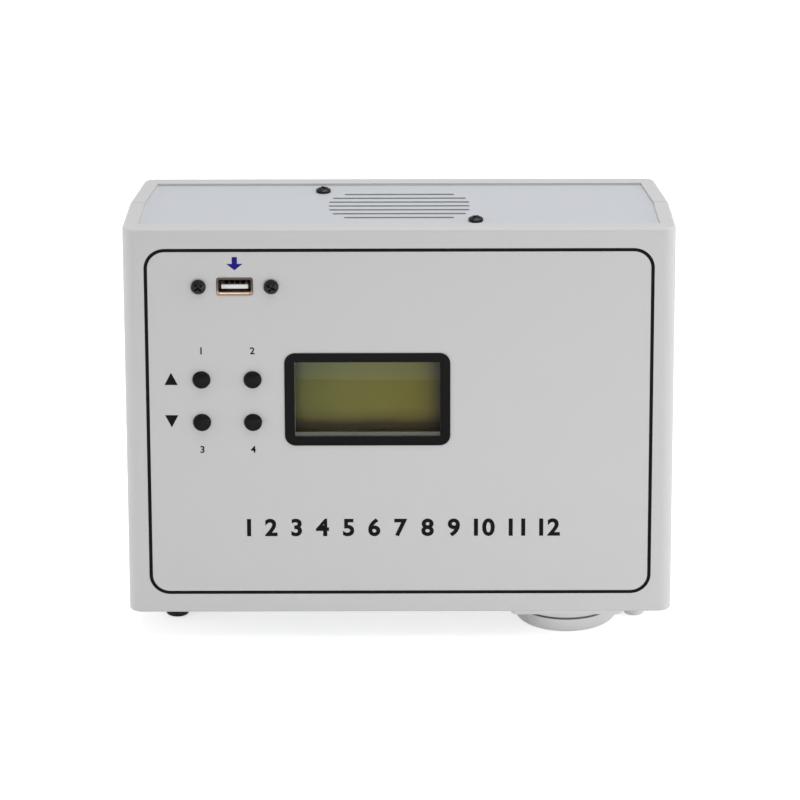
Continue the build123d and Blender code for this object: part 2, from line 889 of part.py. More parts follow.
def terminal_places():
    """Middle and pole count of each terminal block, from left to right."""
    counts = [4, 3, 3]
    width = sum(counts) * terminal_pitch + (len(counts) - 1) * terminal_gap
    places = []
    left = -width / 2
    for poles in counts:
        places.append((left + poles * terminal_pitch / 2, poles))
        left += poles * terminal_pitch + terminal_gap
    return places


def capacitors():
    """Two tall can capacitors beside two small ones."""
    x = board_width / 2 - can_side_inset
    rise = board_height / 2 - can_top_inset
    large = few_sided(large_can_radius, head_sides)
    small = few_sided(small_can_radius, head_sides)
    cans = []
    for row in range(2):
        can_rise = rise - row * can_pitch
        pair = [
            on_board(large, x, can_rise, large_can_height),
            on_board(small, x - can_pitch, can_rise, small_can_height),
        ]
        cans += [chamfer(can.edges().group_by(Axis.Y)[0], can_edge) for can in pair]
    return cans


def coin_place():
    """Middle of the coin cell, from the board's middle."""
    return coin_side_inset - board_width / 2, board_height / 2 - coin_top_inset


def coin_cell_holder():
    x, rise = coin_place()
    inner_radius = coin_cell_radius + fit_play
    height = coin_holder_floor + coin_cell_thickness
    holder = on_board(Circle(inner_radius + coin_holder_wall), x, rise, height)
    room = on_board(Circle(inner_radius), x, rise, coin_cell_thickness)
    return holder - Pos(0, -coin_holder_floor, 0) * room


def coin_cell():
    x, rise = coin_place()
    cell = on_board(Circle(coin_cell_radius), x, rise, coin_cell_thickness)
    return Pos(0, -coin_holder_floor, 0) * cell


def processor():
    """Square chip with a row of legs along each side."""
    chip = on_board(Rectangle(chip_side, chip_side), chip_x, chip_rise, chip_height)
    reach = (chip_side + leg_length) / 2
    for index in range(leg_count):
        along = (index - (leg_count - 1) / 2) * leg_pitch
        for side in (-1, 1):
            level = Rectangle(leg_length, leg_width)
            upright = Rectangle(leg_width, leg_length)
            chip += on_board(level, chip_x + side * reach, chip_rise + along, leg_height)
            chip += on_board(upright, chip_x + along, chip_rise + side * reach, leg_height)
    return chip


def amplifier():
    """Audio amplifier on a finned heat sink."""
    rise = board_height / 2 - sink_top_inset
    sink = on_board(Rectangle(sink_width, sink_breadth), sink_x, rise, sink_height)
    pitch = sink_width / fin_count
    fin_rise = rise + (sink_breadth - fin_depth) / 2
    for index in range(fin_count):
        x = sink_x + (index - (fin_count - 1) / 2) * pitch
        sink -= on_board(Rectangle(fin_gap, fin_depth), x, fin_rise, sink_height)
    return sink


def relay():
    outline = Rectangle(relay_width, relay_breadth)
    box = on_board(outline, relay_x, relay_rise, relay_height)
    return chamfer(box.edges().group_by(Axis.Y)[0], relay_edge)


def fuse_holder():
    """Clip base and round cap of the board fuse."""
    base = Rectangle(fuse_length, fuse_base_breadth)
    holder = on_board(base, fuse_x, fuse_rise, fuse_base_height)
    left = board_x + fuse_x - fuse_length / 2
    barrel_y = y_at(board_front - fuse_base_height - fuse_radius + fuse_seat)
    barrel_z = mid_z + board_rise + fuse_rise
    return holder + along_x(Circle(fuse_radius), barrel_y, barrel_z, left, left + fuse_length)


def transformer_core():
    """Stack of E and I laminations with its two windows."""
    back = rear_inside
    front = rear_inside - core_height
    x = transformer_x
    z = mid_z + transformer_rise
    half = core_stack / 2
    core = along_z(Rectangle(core_width, core_height), x, y_at((front + back) / 2), z - half, z + half)
    window = Rectangle((core_width - 4 * core_leg) / 2, core_height - 2 * core_leg)
    step = core_leg + (core_width - 4 * core_leg) / 4
    for side in (-1, 1):
        core -= along_z(window, x + side * step, y_at((front + back) / 2), z - half, z + half)
    return core


def transformer_coil():
    """Winding around the middle leg, with its bobbin ends."""
    x = transformer_x
    y = y_at(rear_inside - core_height / 2)
    z = mid_z + transformer_rise
    width = core_width - 2 * core_leg - 2 * coil_play
    height = core_height - 2 * core_leg - 2 * coil_play
    half = core_stack / 2 + coil_reach
    coil = along_z(Rectangle(width, height), x, y, z - half, z + half)
    coil = chamfer(coil.edges().filter_by(Axis.Y), coil_reach / 2)
    leg = Rectangle(2 * core_leg + 2 * coil_play, core_height)
    return coil - along_z(
        leg, x, y, z - core_stack / 2 - coil_play, z + core_stack / 2 + coil_play
    )


def transformer_strap():
    """Steel strap over the core, with a foot at each side."""
    x = transformer_x
    z = mid_z + transformer_rise
    reach = core_width / 2 + strap_thickness
    front = rear_inside - core_height - strap_thickness
    foot_front = rear_inside - strap_foot - strap_thickness
    half = core_stack / 2
    top_y = y_at(front + strap_thickness / 2)
    strap = along_z(Rectangle(2 * reach, strap_thickness), x, top_y, z - half, z + half)
    length = foot_front + strap_thickness - front
    for side in (-1, 1):
        side_x = x + side * (reach - strap_thickness / 2)
        side_y = y_at(front + length / 2)
        strap += along_z(Rectangle(strap_thickness, length), side_x, side_y, z - half, z + half)
        foot_x = x + side * (reach + strap_foot / 2)
        foot_y = y_at(foot_front + strap_thickness / 2)
        strap += along_z(Rectangle(strap_foot, strap_thickness), foot_x, foot_y, z - half, z + half)
    for hole_x, hole_z in transformer_screw_places():
        hole = screw_hole(m3_radius + fit_play)
        foot_back = foot_front + strap_thickness
        strap -= along_y(hole, hole_x, hole_z, foot_front - cut_past, foot_back + cut_past)
    return strap


def transformer_screws():
    screw = plain_screw(pan_head_radius, pan_head_height, m3_radius, screw_bite)
    seat = y_at(rear_inside - strap_foot - strap_thickness)
    return [Pos(x, seat, z) * Rot(90, 0, 0) * screw for x, z in transformer_screw_places()]


def outlet_flange():
    """Square flange, raised collar, well tube and the two hinge lugs, in one moulding."""
    plate = RectangleRounded(flange_side, flange_side, flange_corner)
    body = along_z(plate, outlet_x, outlet_y, flange_face, panel_under)
    body += along_z(Circle(collar_radius), outlet_x, outlet_y, collar_face, flange_face)
    tube = Circle(well_radius + well_wall)
    body += along_z(tube, outlet_x, outlet_y, flange_face, insert_top)
    well = Circle(well_radius)
    body -= along_z(well, outlet_x, outlet_y, collar_face - cut_past, insert_top + cut_past)
    for side in (-1, 1):
        inner = outlet_x + side * (hinge_half_length - lug_width)
        outer = outlet_x + side * hinge_half_length
        left, right = sorted((inner, outer))
        lug = Circle(knuckle_radius)
        body += along_x(lug, hinge_y, hinge_z, left, right)
        neck_height = flange_face - hinge_z
        neck = Pos(0, neck_height / 2) * Rectangle(2 * knuckle_radius, neck_height)
        body += along_x(neck, hinge_y, hinge_z, left, right)
    pin_hole = Circle(hinge_pin_radius + fit_play)
    reach = hinge_half_length + cut_past
    body -= along_x(pin_hole, hinge_y, hinge_z, outlet_x - reach, outlet_x + reach)
    lid_room = Circle(knuckle_radius + knuckle_gap)
    span = hinge_half_length - lug_width
    body -= along_x(lid_room, hinge_y, hinge_z, outlet_x - span, outlet_x + span)
    low = flange_face - cut_past
    pocket = Circle(pan_head_radius + screw_pocket_play)
    for x, y in outlet_screw_places():
        body -= along_z(screw_hole(m3_radius + fit_play), x, y, low, panel_under + cut_past)
        body -= along_z(pocket, x, y, low, flange_face + pan_head_height)
    return body


def outlet_insert():
    """Floor of the well, with two pin holes and room for the contact sleeves."""
    disc = Circle(well_radius - insert_play)
    insert = along_z(disc, outlet_x, outlet_y, well_floor, insert_top)
    pin_hole = Circle(pin_hole_radius)
    room = Circle(sleeve_bore + sleeve_wall + fit_play)
    high = insert_top + cut_past
    for side in (-1, 1):
        x = outlet_x + side * pin_pitch / 2
        insert -= along_z(pin_hole, x, outlet_y, well_floor - cut_past, high)
        insert -= along_z(room, x, outlet_y, well_floor + pin_mouth, high)
    return insert


def outlet_contacts():
    """Two brass sleeves behind the pin holes."""
    sleeve = ring(sleeve_bore + sleeve_wall, sleeve_bore)
    low = well_floor + pin_mouth
    places = [outlet_x + side * pin_pitch / 2 for side in (-1, 1)]
    return [along_z(sleeve, x, outlet_y, low, insert_top - sleeve_drop) for x in places]


def earth_clips():
    """Two bowed earth springs on opposite walls of the well."""
    clips = []
    low = well_floor - earth_clip_length
    for side in (-1, 1):
        foot = (well_radius**2 - (earth_clip_width / 2) ** 2) ** 0.5 - fit_play
        bow = foot - earth_clip_reach
        bow_height = low + earth_clip_length * earth_clip_bow_share
        points = [(foot, low), (bow, bow_height), (foot, well_floor)]
        inner = [(y - earth_clip_thickness, z) for y, z in reversed(points)]
        outline = make_face(Polyline(*points, *inner, close=True))
        half = earth_clip_width / 2
        clip = along_x(outline, 0, 0, -half, half)
        turn = Rot(0, 0, 0 if side > 0 else 180)
        clips.append(Pos(outlet_x, outlet_y, 0) * turn * clip)
    return clips


def lid_seal():
    """Rubber ring that the lid presses against the collar."""
    seal_radius = collar_radius - seal_edge
    seal = ring(seal_radius, seal_radius - seal_width)
    return along_z(seal, outlet_x, outlet_y, lid_thickness, collar_face)


def outlet_lid():
    """Round lid with a hollow inside and two hinge knuckles at its rear."""
    lid = along_z(Circle(lid_radius), outlet_x, outlet_y, 0, lid_thickness)
    lid = chamfer(lid.edges().group_by(Axis.Z)[0], lid_edge)
    hollow = Circle(lid_radius - lid_rim)
    lid -= along_z(hollow, outlet_x, outlet_y, lid_skin, lid_thickness + cut_past)
    span = hinge_half_length - lug_width - knuckle_gap
    for side in (-1, 1):
        outer = outlet_x + side * span
        inner = outlet_x + side * (span - knuckle_width)
        left, right = sorted((inner, outer))
        arm_length = hinge_setback - lid_radius + knuckle_root
        arm = Rectangle(arm_length, knuckle_radius)
        arm = Pos(-arm_length / 2, -hinge_rise - knuckle_radius / 2) * arm
        lid += along_x(Circle(knuckle_radius), hinge_y, hinge_z, left, right)
        lid += along_x(arm, hinge_y, hinge_z, left, right)
    reach = hinge_half_length + cut_past
    pin_hole = Circle(hinge_pin_radius + fit_play)
    return lid - along_x(pin_hole, hinge_y, hinge_z, outlet_x - reach, outlet_x + reach)


def hinge_pin():
    reach = hinge_half_length
    return along_x(Circle(hinge_pin_radius), hinge_y, hinge_z, outlet_x - reach, outlet_x + reach)


def lid_spring():
    """Closing spring: close turns of wire around the hinge pin."""
    turns = []
    bore = hinge_pin_radius + 2 * fit_play
    turn = few_sided(bore + spring_wire, boss_sides) - screw_hole(bore)
    for index in range(spring_turns):
        left = outlet_x + (index - spring_turns / 2) * spring_wire
        turns.append(along_x(turn, hinge_y, hinge_z, left, left + spring_wire))
    return turns


def outlet_screws():
    grip = flange_thickness - pan_head_height + panel_thickness + nut_height
    screw = pan_screw(grip)
    seat = flange_face + pan_head_height
    return [Pos(x, y, seat) * Rot(180, 0, 0) * screw for x, y in outlet_screw_places()]


def m3_nuts():
    """The nuts of the socket, speaker and outlet screws."""
    nut = hex_nut(nut_flats, nut_height, m3_radius + fit_play)
    carrier_back = y_at(wall + usb_carrier_thickness)
    under_speaker = top_panel_under - speaker_flange - nut_height
    nuts = [Pos(x, carrier_back, z) * Rot(-90, 0, 0) * nut for x, z in usb_screw_places()]
    nuts += [Pos(x, y, under_speaker) * nut for x, y in speaker_screw_places()]
    nuts += [Pos(x, y, bottom_panel_top) * nut for x, y in outlet_screw_places()]
    return nuts


def gland_body(x, flats, thread_radius, tip_radius, lead_radius):
    """Threaded tail through the panel and a hexagon collar under it."""
    tail_end = bottom_panel_top + gland_tail
    body = along_z(hexagon(flats), x, outlet_y, panel_under - gland_collar, panel_under)
    body += along_z(Circle(thread_radius), x, outlet_y, panel_under, tail_end)
    bore = Circle(lead_radius + gland_seal_wall + fit_play)
    return body - along_z(bore, x, outlet_y, 0, tail_end + cut_past)


def gland_cap(x, flats, thread_radius, tip_radius, lead_radius):
    """Cap nut: a hexagon that narrows to the round tip that the lead leaves by."""
    top = panel_under - gland_collar
    hex_low = top - gland_cap_hex
    cap = along_z(hexagon(flats), x, outlet_y, hex_low, top)
    shoulder = Cone(tip_radius, flats / 2, hex_low - gland_tip_height)
    cap += Pos(x, outlet_y, (hex_low + gland_tip_height) / 2) * shoulder
    tip = along_z(Circle(tip_radius), x, outlet_y, 0, gland_tip_height)
    cap += chamfer(tip.edges().group_by(Axis.Z)[0], gland_tip_edge)
    cap -= along_z(Circle(lead_radius), x, outlet_y, -cut_past, top + cut_past)
    seal_room = Circle(lead_radius + gland_seal_wall + fit_play)
    return cap - along_z(seal_room, x, outlet_y, gland_tip_height, top + cut_past)


def gland_seals():
    """Rubber sleeves that grip the leads inside the glands."""
    seals = []
    for x, flats, thread_radius, tip_radius, lead_radius in glands.values():
        seal = ring(lead_radius + gland_seal_wall, lead_radius)
        seals.append(along_z(seal, x, outlet_y, gland_tip_height, bottom_panel_top))
    return seals


def gland_nuts():
    nuts = []
    for x, flats, thread_radius, tip_radius, lead_radius in glands.values():
        nut = hex_nut(flats, gland_nut_height, thread_radius + fit_play)
        nuts.append(Pos(x, outlet_y, bottom_panel_top) * nut)
    return nuts


def save(name, shape):
    """Writes one node; a list of like solids goes into one file."""
    if isinstance(shape, list):
        shape = Compound(children=[part.solid() for part in shape])
    export_step(shape, f"parts/{name}.step")


os.makedirs("parts", exist_ok=True)
save("front_shell", front_shell())
save("rear_shell", rear_shell())
save("top_panel", top_panel())
save("bottom_panel", bottom_panel())
save("case_screws", case_screws())
save("window_bezel", window_bezel())
save("window_lens", window_lens())
save("lcd_frame", lcd_frame())
save("lcd_glass", lcd_layer(display_depth + lcd_frame_skin, lcd_glass_thickness))
save(
    "lcd_backlight",
    lcd_layer(display_depth + lcd_frame_skin + lcd_glass_thickness, lcd_light_thickness),
)
save(
    "lcd_board",
    board_with_holes(
        lcd_board_width, lcd_board_height, window_x, mid_z + window_rise, lcd_board_depth,
        display_screw_places(), small_screw_radius + fit_play,
    ),
)
for number, (x, z) in enumerate(button_places, start=1):
    save(f"button_{number}", button_cap(x, z))
    save(f"switch_plunger_{number}", switch_plunger(x, z))
save("key_switches", key_switches())
save(
    "key_board",
    board_with_holes(
        key_board_width, key_board_height, button_x, mid_z + button_rise, key_board_depth,
        key_screw_places(), small_screw_radius + fit_play,
    ),
)
save("usb_shell", usb_shell())
save("usb_tongue", usb_tongue())
save("usb_contacts", usb_contacts())
save("usb_carrier", usb_carrier())
save("usb_screws", usb_screws())
save("speaker_frame", speaker_frame())
save("speaker_cone", speaker_cone())
save("speaker_magnet", speaker_magnet())
save("speaker_screws", speaker_screws())
save(
    "main_board",
    board_with_holes(
        board_width, board_height, board_x, mid_z + board_rise, board_front,
        main_board_screw_places(), small_screw_radius + fit_play,
    ),
)
save("board_screws", board_screws())
save("processor", processor())
save("amplifier", amplifier())
save("relay", relay())
save("terminal_blocks", terminal_blocks())
save("capacitors", capacitors())
save("coin_cell_holder", coin_cell_holder())
save("coin_cell", coin_cell())
save("fuse_holder", fuse_holder())
save("transformer_core", transformer_core())
save("transformer_coil", transformer_coil())
save("transformer_strap", transformer_strap())
save("transformer_screws", transformer_screws())
save("outlet_flange", outlet_flange())
save("outlet_insert", outlet_insert())
save("outlet_contacts", outlet_contacts())
save("earth_clips", earth_clips())
save("lid_seal", lid_seal())
save("outlet_lid", outlet_lid())
save("hinge_pin", hinge_pin())
save("lid_spring", lid_spring())
save("outlet_screws", outlet_screws())
save("m3_nuts", m3_nuts())
for name, sizes in glands.items():
    save(f"{name}_gland_body", gland_body(*sizes))
    save(f"{name}_gland_cap", gland_cap(*sizes))
save("gland_seals", gland_seals())
save("gland_nuts", gland_nuts())
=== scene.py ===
import math

import bmesh
import bpy
from mathutils import Matrix, Vector


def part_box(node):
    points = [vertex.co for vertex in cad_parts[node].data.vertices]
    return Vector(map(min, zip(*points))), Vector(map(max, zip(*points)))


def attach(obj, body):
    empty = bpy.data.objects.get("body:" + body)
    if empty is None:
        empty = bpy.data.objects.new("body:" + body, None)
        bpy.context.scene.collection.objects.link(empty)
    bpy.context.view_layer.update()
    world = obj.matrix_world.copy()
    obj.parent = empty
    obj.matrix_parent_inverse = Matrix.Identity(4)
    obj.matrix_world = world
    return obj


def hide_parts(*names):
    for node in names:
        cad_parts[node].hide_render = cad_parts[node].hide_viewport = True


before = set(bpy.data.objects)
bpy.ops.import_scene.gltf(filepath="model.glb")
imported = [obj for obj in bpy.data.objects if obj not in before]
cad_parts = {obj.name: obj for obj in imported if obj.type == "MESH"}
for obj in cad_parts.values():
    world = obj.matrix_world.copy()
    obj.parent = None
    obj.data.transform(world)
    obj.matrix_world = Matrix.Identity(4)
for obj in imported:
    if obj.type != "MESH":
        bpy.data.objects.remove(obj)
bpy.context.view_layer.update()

# ---- Camera ----
# A long lens stands well back from the clock, a little above it and almost square to
# its face, so that the top panel shows and the underside only just peeps out.
aim = Vector((0.0002, -0.02975, 0.1099))
distance = 2.499
look_down = math.radians(21.92)
look_aside = math.radians(-0.16)
roll = math.radians(-0.17)
ahead = Vector(
    (
        math.sin(look_aside) * math.cos(look_down),
        math.cos(look_aside) * math.cos(look_down),
        -math.sin(look_down),
    )
)
level_right = Vector((math.cos(look_aside), -math.sin(look_aside), 0))
level_up = level_right.cross(ahead)
right = math.cos(roll) * level_right + math.sin(roll) * level_up
up = math.cos(roll) * level_up - math.sin(roll) * level_right
camera_data = bpy.data.cameras.new("camera")
camera_data.sensor_width = 36.0
camera_data.lens = 270.9
camera = bpy.data.objects.new("camera", camera_data)
camera.location = aim - distance * ahead
camera.rotation_euler = Matrix((right, up, -ahead)).transposed().to_euler()
bpy.context.scene.collection.objects.link(camera)
bpy.context.scene.camera = camera
bpy.context.scene.view_settings.view_transform = "Standard"


# ---- Floor, backdrop and lights ----
# A white table top curves up into a wall, under a pale sky. A wide soft box hangs above, and
# smaller ones stand in front, at both sides and behind. The table keeps the clock's shadow.
def add_node(material, kind, inputs=None, **settings):
    """Adds a shader node: an input given as a socket is linked, any other is set."""
    node = material.node_tree.nodes.new(kind)
    for key, value in settings.items():
        setattr(node, key, value)
    for key, value in (inputs or {}).items():
        if isinstance(value, bpy.types.NodeSocket):
            material.node_tree.links.new(value, node.inputs[key])
        else:
            node.inputs[key].default_value = value
    return node


def new_material(name):
    """An empty material and its main shader."""
    material = bpy.data.materials.new(name)
    material.use_nodes = True
    return material, material.node_tree.nodes["Principled BSDF"]


def seen_by(material, *kinds):
    """One for a ray of any of these kinds, and nothing for the others."""
    path = add_node(material, "ShaderNodeLightPath")
    found = path.outputs[kinds[0]]
    for kind in kinds[1:]:
        either = {0: found, 1: path.outputs[kind]}
        found = add_node(material, "ShaderNodeMath", either, operation="MAXIMUM").outputs[0]
    return found


def screen_colour(red, green, blue):
    """A colour as a screen shows it, 0 to 255, turned into the linear one of a shader."""
    def linear(value):
        share = value / 255
        return share / 12.92 if share <= 0.04045 else ((share + 0.055) / 1.055) ** 2.4

    return (linear(red), linear(green), linear(blue), 1.0)


def finish_piece(name, bm, material, body, smooth_angle=35):
    """Makes an object of a mesh in the making, and gives it its material, body and slot."""
    mesh = bpy.data.meshes.new(name)
    bm.to_mesh(mesh)
    bm.free()
    piece = bpy.data.objects.new(name, mesh)
    bpy.context.scene.collection.objects.link(piece)
    mesh.materials.append(material)
    mesh.shade_smooth()
    mesh.set_sharp_from_angle(angle=math.radians(smooth_angle))
    if body:
        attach(piece, body)
    return piece


table_tone = 0.9
table_glow = 0.6
table_material, table_shader = new_material("table_white")
table_shader.inputs["Base Color"].default_value = (table_tone, table_tone, table_tone, 1)
table_shader.inputs["Roughness"].default_value = 0.9
table_shader.inputs["Specular IOR Level"].default_value = 0.1
table_seen = seen_by(table_material, "Is Camera Ray", "Is Glossy Ray", "Is Transmission Ray")
glow = add_node(
    table_material, "ShaderNodeEmission", {"Color": (1, 1, 1, 1), "Strength": table_glow}
)
nothing = add_node(table_material, "ShaderNodeEmission", {"Strength": 0.0})
glow_seen = add_node(
    table_material, "ShaderNodeMixShader",
    {"Fac": table_seen, 1: nothing.outputs[0], 2: glow.outputs[0]},
)
table_sum = add_node(
    table_material, "ShaderNodeAddShader",
    {0: table_shader.outputs[0], 1: glow_seen.outputs[0]},
)
table_material.node_tree.links.new(
    table_sum.outputs[0], table_material.node_tree.nodes["Material Output"].inputs["Surface"]
)
bm = bmesh.new()
table_front = -4.0
table_back = 4.0
table_level = -0.00005
wall_top = 3.5
table_half_width = 4.0
sweep_radius = 1.0
edge_points = [
    bm.verts.new((-table_half_width, y, z))
    for y, z in ((table_front, table_level), (table_back, table_level), (table_back, wall_top))
]
bm.edges.new(edge_points[:2])
bm.edges.new(edge_points[1:])
bmesh.ops.bevel(
    bm, geom=[edge_points[1]], affect="VERTICES", offset=sweep_radius, segments=16, profile=0.5,
    material=-1,
)
swept = bmesh.ops.extrude_edge_only(bm, edges=bm.edges[:])
bmesh.ops.translate(
    bm, vec=(2 * table_half_width, 0, 0),
    verts=[part for part in swept["geom"] if isinstance(part, bmesh.types.BMVert)],
)
table = finish_piece("table", bm, table_material, None, smooth_angle=60)


def soft_box(name, place, target, width, height, power, colour):
    """A rectangular studio lamp that faces a point."""
    lamp = bpy.data.lights.new(name, "AREA")
    lamp.shape = "RECTANGLE"
    lamp.size = width
    lamp.size_y = height
    lamp.energy = power
    lamp.color = colour
    holder = bpy.data.objects.new(name, lamp)
    holder.location = place
    aim_at = Vector(target) - Vector(place)
    holder.rotation_euler = aim_at.to_track_quat("-Z", "Y").to_euler()
    holder.visible_camera = False
    bpy.context.scene.collection.objects.link(holder)


clock_middle = (0, 0, 0.1)
white = (1.0, 1.0, 1.0)
cool_white = (0.97, 0.985, 1.0)
warm_white = (1.0, 0.99, 0.98)
soft_box("top_box", (0.2, -0.1, 1.5), clock_middle, 1.4, 1.0, 15.4, cool_white)
soft_box("front_box", (0.42, -0.62, 0.1), (0.02, 0, 0.05), 0.4, 0.3, 0.78, warm_white)
soft_box("low_box", (0.06, -0.34, 0.04), (0.06, 0, 0.03), 0.5, 0.05, 0.14, white)
for name, side in (("left_box", -1), ("right_box", 1)):
    soft_box(name, (side, -0.05, 0.25), clock_middle, 0.8, 0.6, 4.0, white)
soft_box("back_box", (0, 1.2, 0.1), clock_middle, 1.2, 0.2, 4.5, white)
sky = bpy.data.worlds.new("studio")
sky.use_nodes = True
sky_light = 0.3
sky_strength = add_node(
    sky, "ShaderNodeMapRange",
    {
        "Value": seen_by(sky, "Is Camera Ray", "Is Glossy Ray"),
        "To Min": sky_light, "To Max": 1.0,
    },
)
sky_shader = sky.node_tree.nodes["Background"]
sky_shader.inputs["Color"].default_value = (1, 1, 1, 1)
sky.node_tree.links.new(sky_strength.outputs[0], sky_shader.inputs["Strength"])
bpy.context.scene.world = sky


# ---- Case: front shell, rear shell and the two end panels ----
# Injection-moulded light grey ABS with a fine spark-eroded skin. The shells meet at half
# depth, and the end panels sit in grooves a little below the shells' ends.
def moulded(
    name, colour, roughness, gloss=0.5, grain_size=0.00035, grain_depth=0.00002, unevenness=0.012
):
    """Matt plastic: an even colour with faint clouds, and a fine grain."""
    clouds_per_metre = 22.0
    polish_spread = 0.05
    material, shader = new_material(name)
    shader.inputs["Specular IOR Level"].default_value = gloss
    place = add_node(material, "ShaderNodeTexCoord").outputs["Object"]
    clouds = add_node(
        material, "ShaderNodeTexNoise",
        {"Vector": place, "Scale": clouds_per_metre, "Detail": 3.0},
    )
    dark = [channel * (1 - unevenness) for channel in colour[:3]]
    light = [channel * (1 + unevenness) for channel in colour[:3]]
    tint = add_node(
        material, "ShaderNodeMix",
        {"Factor": clouds.outputs["Fac"], 6: (*dark, 1), 7: (*light, 1)}, data_type="RGBA",
    )
    material.node_tree.links.new(tint.outputs[2], shader.inputs["Base Color"])
    polish = add_node(
        material, "ShaderNodeMapRange",
        {
            "Value": clouds.outputs["Fac"],
            "To Min": roughness - polish_spread, "To Max": roughness + polish_spread,
        },
    )
    material.node_tree.links.new(polish.outputs[0], shader.inputs["Roughness"])
    grain = add_node(
        material, "ShaderNodeTexNoise",
        {"Vector": place, "Scale": 1 / grain_size, "Detail": 2.0, "Roughness": 0.6},
    )
    bump = add_node(
        material, "ShaderNodeBump",
        {"Height": grain.outputs["Fac"], "Strength": 0.35, "Distance": grain_depth},
    )
    material.node_tree.links.new(bump.outputs[0], shader.inputs["Normal"])
    return material


def dress(material, *nodes):
    """Gives CAD pieces that keep their own shape a material."""
    for node in nodes:
        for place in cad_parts[node].material_slots:
            place.material = material


case_grey = moulded("case_grey", screen_colour(198, 197, 197), 0.5)
panel_grey = moulded("panel_grey", screen_colour(193, 195, 199), 0.5)
# A thin line of painted shade runs round the case where the two shells meet. It is the shadow in
# the seam, painted into the colour.
seam_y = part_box("front_shell")[1].y
seam_half_width = 0.00012
seam_shade = 0.6
case_shader = case_grey.node_tree.nodes["Principled BSDF"]
case_tint = case_shader.inputs["Base Color"].links[0].from_socket
case_place = add_node(case_grey, "ShaderNodeTexCoord").outputs["Object"]
case_depth = add_node(case_grey, "ShaderNodeSeparateXYZ", {"Vector": case_place}).outputs["Y"]
from_seam = add_node(
    case_grey, "ShaderNodeMath", {0: case_depth, 1: seam_y}, operation="SUBTRACT"
)
off_seam = add_node(case_grey, "ShaderNodeMath", {0: from_seam.outputs[0]}, operation="ABSOLUTE")
seam_painted_shade = add_node(
    case_grey, "ShaderNodeMapRange",
    {
        "Value": off_seam.outputs[0], "From Min": seam_half_width, "From Max": 2 * seam_half_width,
        "To Min": seam_shade, "To Max": 1.0,
    },
)
seam_shadowed_tint = add_node(
    case_grey, "ShaderNodeMix", {"Factor": 1.0, 6: case_tint, 7: seam_painted_shade.outputs[0]},
    data_type="RGBA", blend_type="MULTIPLY",
)
case_grey.node_tree.links.new(seam_shadowed_tint.outputs[2], case_shader.inputs["Base Color"])
dress(case_grey, "front_shell", "rear_shell")
dress(panel_grey, "top_panel", "bottom_panel")
case_low, case_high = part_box("front_shell")
face_y = case_low.y
mid_z = (case_low.z + case_high.z) / 2


# ---- Printing on the face ----
# Screen-printed satin ink, a few hundredths of a millimetre thick: a black border line,
# two triangles, a blue arrow over the socket, and plain numbers at the buttons and below.
stand_up = Matrix.Rotation(math.pi / 2, 3, "X")


def rounded_plate(width, height, corner, steps=12):
    """A flat rounded rectangle that faces the front."""
    bm = bmesh.new()
    bmesh.ops.create_grid(bm, x_segments=1, y_segments=1, size=0.5)
    bmesh.ops.rotate(bm, verts=bm.verts, cent=(0, 0, 0), matrix=stand_up)
    bmesh.ops.scale(bm, verts=bm.verts, vec=(width, 1, height))
    bmesh.ops.bevel(
        bm, geom=bm.verts[:], affect="VERTICES", offset=corner, segments=steps, profile=0.5,
        material=-1,
    )
    return bm


def ink(name, colour):
    """Satin printing ink with a slightly uneven gloss."""
    return moulded(
        name, colour, 0.42, gloss=0.05, grain_size=0.0005, grain_depth=0.000004, unevenness=0.05
    )


def print_on_face(name, bm, x, rise, material):
    """Thickens a flat shape to a film of ink and lays it on the face."""
    bm.normal_update()
    bmesh.ops.solidify(bm, geom=bm.faces[:], thickness=ink_thickness)
    bmesh.ops.recalc_face_normals(bm, faces=bm.faces)
    front = min(vert.co.y for vert in bm.verts)
    rest = face_y - ink_thickness - front
    bmesh.ops.translate(bm, verts=bm.verts, vec=(x, rest, mid_z + rise))
    finish_piece(name, bm, material, "case")


def number_shape(text, height, weight):
    """Plain figures of one height, upright and centred, with their strokes made bolder."""
    curve = bpy.data.curves.new("figures", "FONT")
    curve.body = text
    curve.align_x = "CENTER"
    curve.align_y = "CENTER"
    curve.size = height * figure_scale
    curve.offset = height * weight
    curve.resolution_u = 4
    holder = bpy.data.objects.new("figures", curve)
    flat = bpy.data.meshes.new_from_object(holder)
    bm = bmesh.new()
    bm.from_mesh(flat)
    bpy.data.objects.remove(holder)
    bpy.data.curves.remove(curve)
    bpy.data.meshes.remove(flat)
    bmesh.ops.remove_doubles(bm, verts=bm.verts, dist=1e-7)
    bmesh.ops.rotate(bm, verts=bm.verts, cent=(0, 0, 0), matrix=stand_up)
    return bm


def join(bm, part, matrix):
    """Adds a part to a mesh in the making, at its own place."""
    bmesh.ops.transform(part, matrix=matrix, verts=part.verts)
    passing = bpy.data.meshes.new("passing")
    part.to_mesh(passing)
    part.free()
    bm.from_mesh(passing)
    bpy.data.meshes.remove(passing)


ink_thickness = 0.00003
figure_scale = 1.38
black_ink = ink("black_ink", screen_colour(18, 17, 18))
blue_ink = ink("blue_ink", screen_colour(36, 27, 126))
border_width = 0.209
border_height = 0.1534
border_line = 0.00145
border_corner = 0.0087
border = rounded_plate(border_width + border_line, border_height + border_line, border_corner)
inside = border.faces[:]
bmesh.ops.inset_region(
    border, faces=inside, thickness=border_line, use_boundary=True, use_even_offset=True
)
bmesh.ops.delete(border, geom=inside, context="FACES")
print_on_face("border_print", border, 0, 0, black_ink)

triangle_x = -0.0947
triangle_side = 0.0055
for name, rise, tip in (("triangle_up_print", 0.01995, 1), ("triangle_down_print", 0.00095, -1)):
    triangle = bmesh.new()
    half = triangle_side / 2
    triangle.faces.new(
        [triangle.verts.new((x, 0, z * tip)) for x, z in ((-half, -half), (half, -half), (0, half))]
    )
    print_on_face(name, triangle, triangle_x, rise, black_ink)

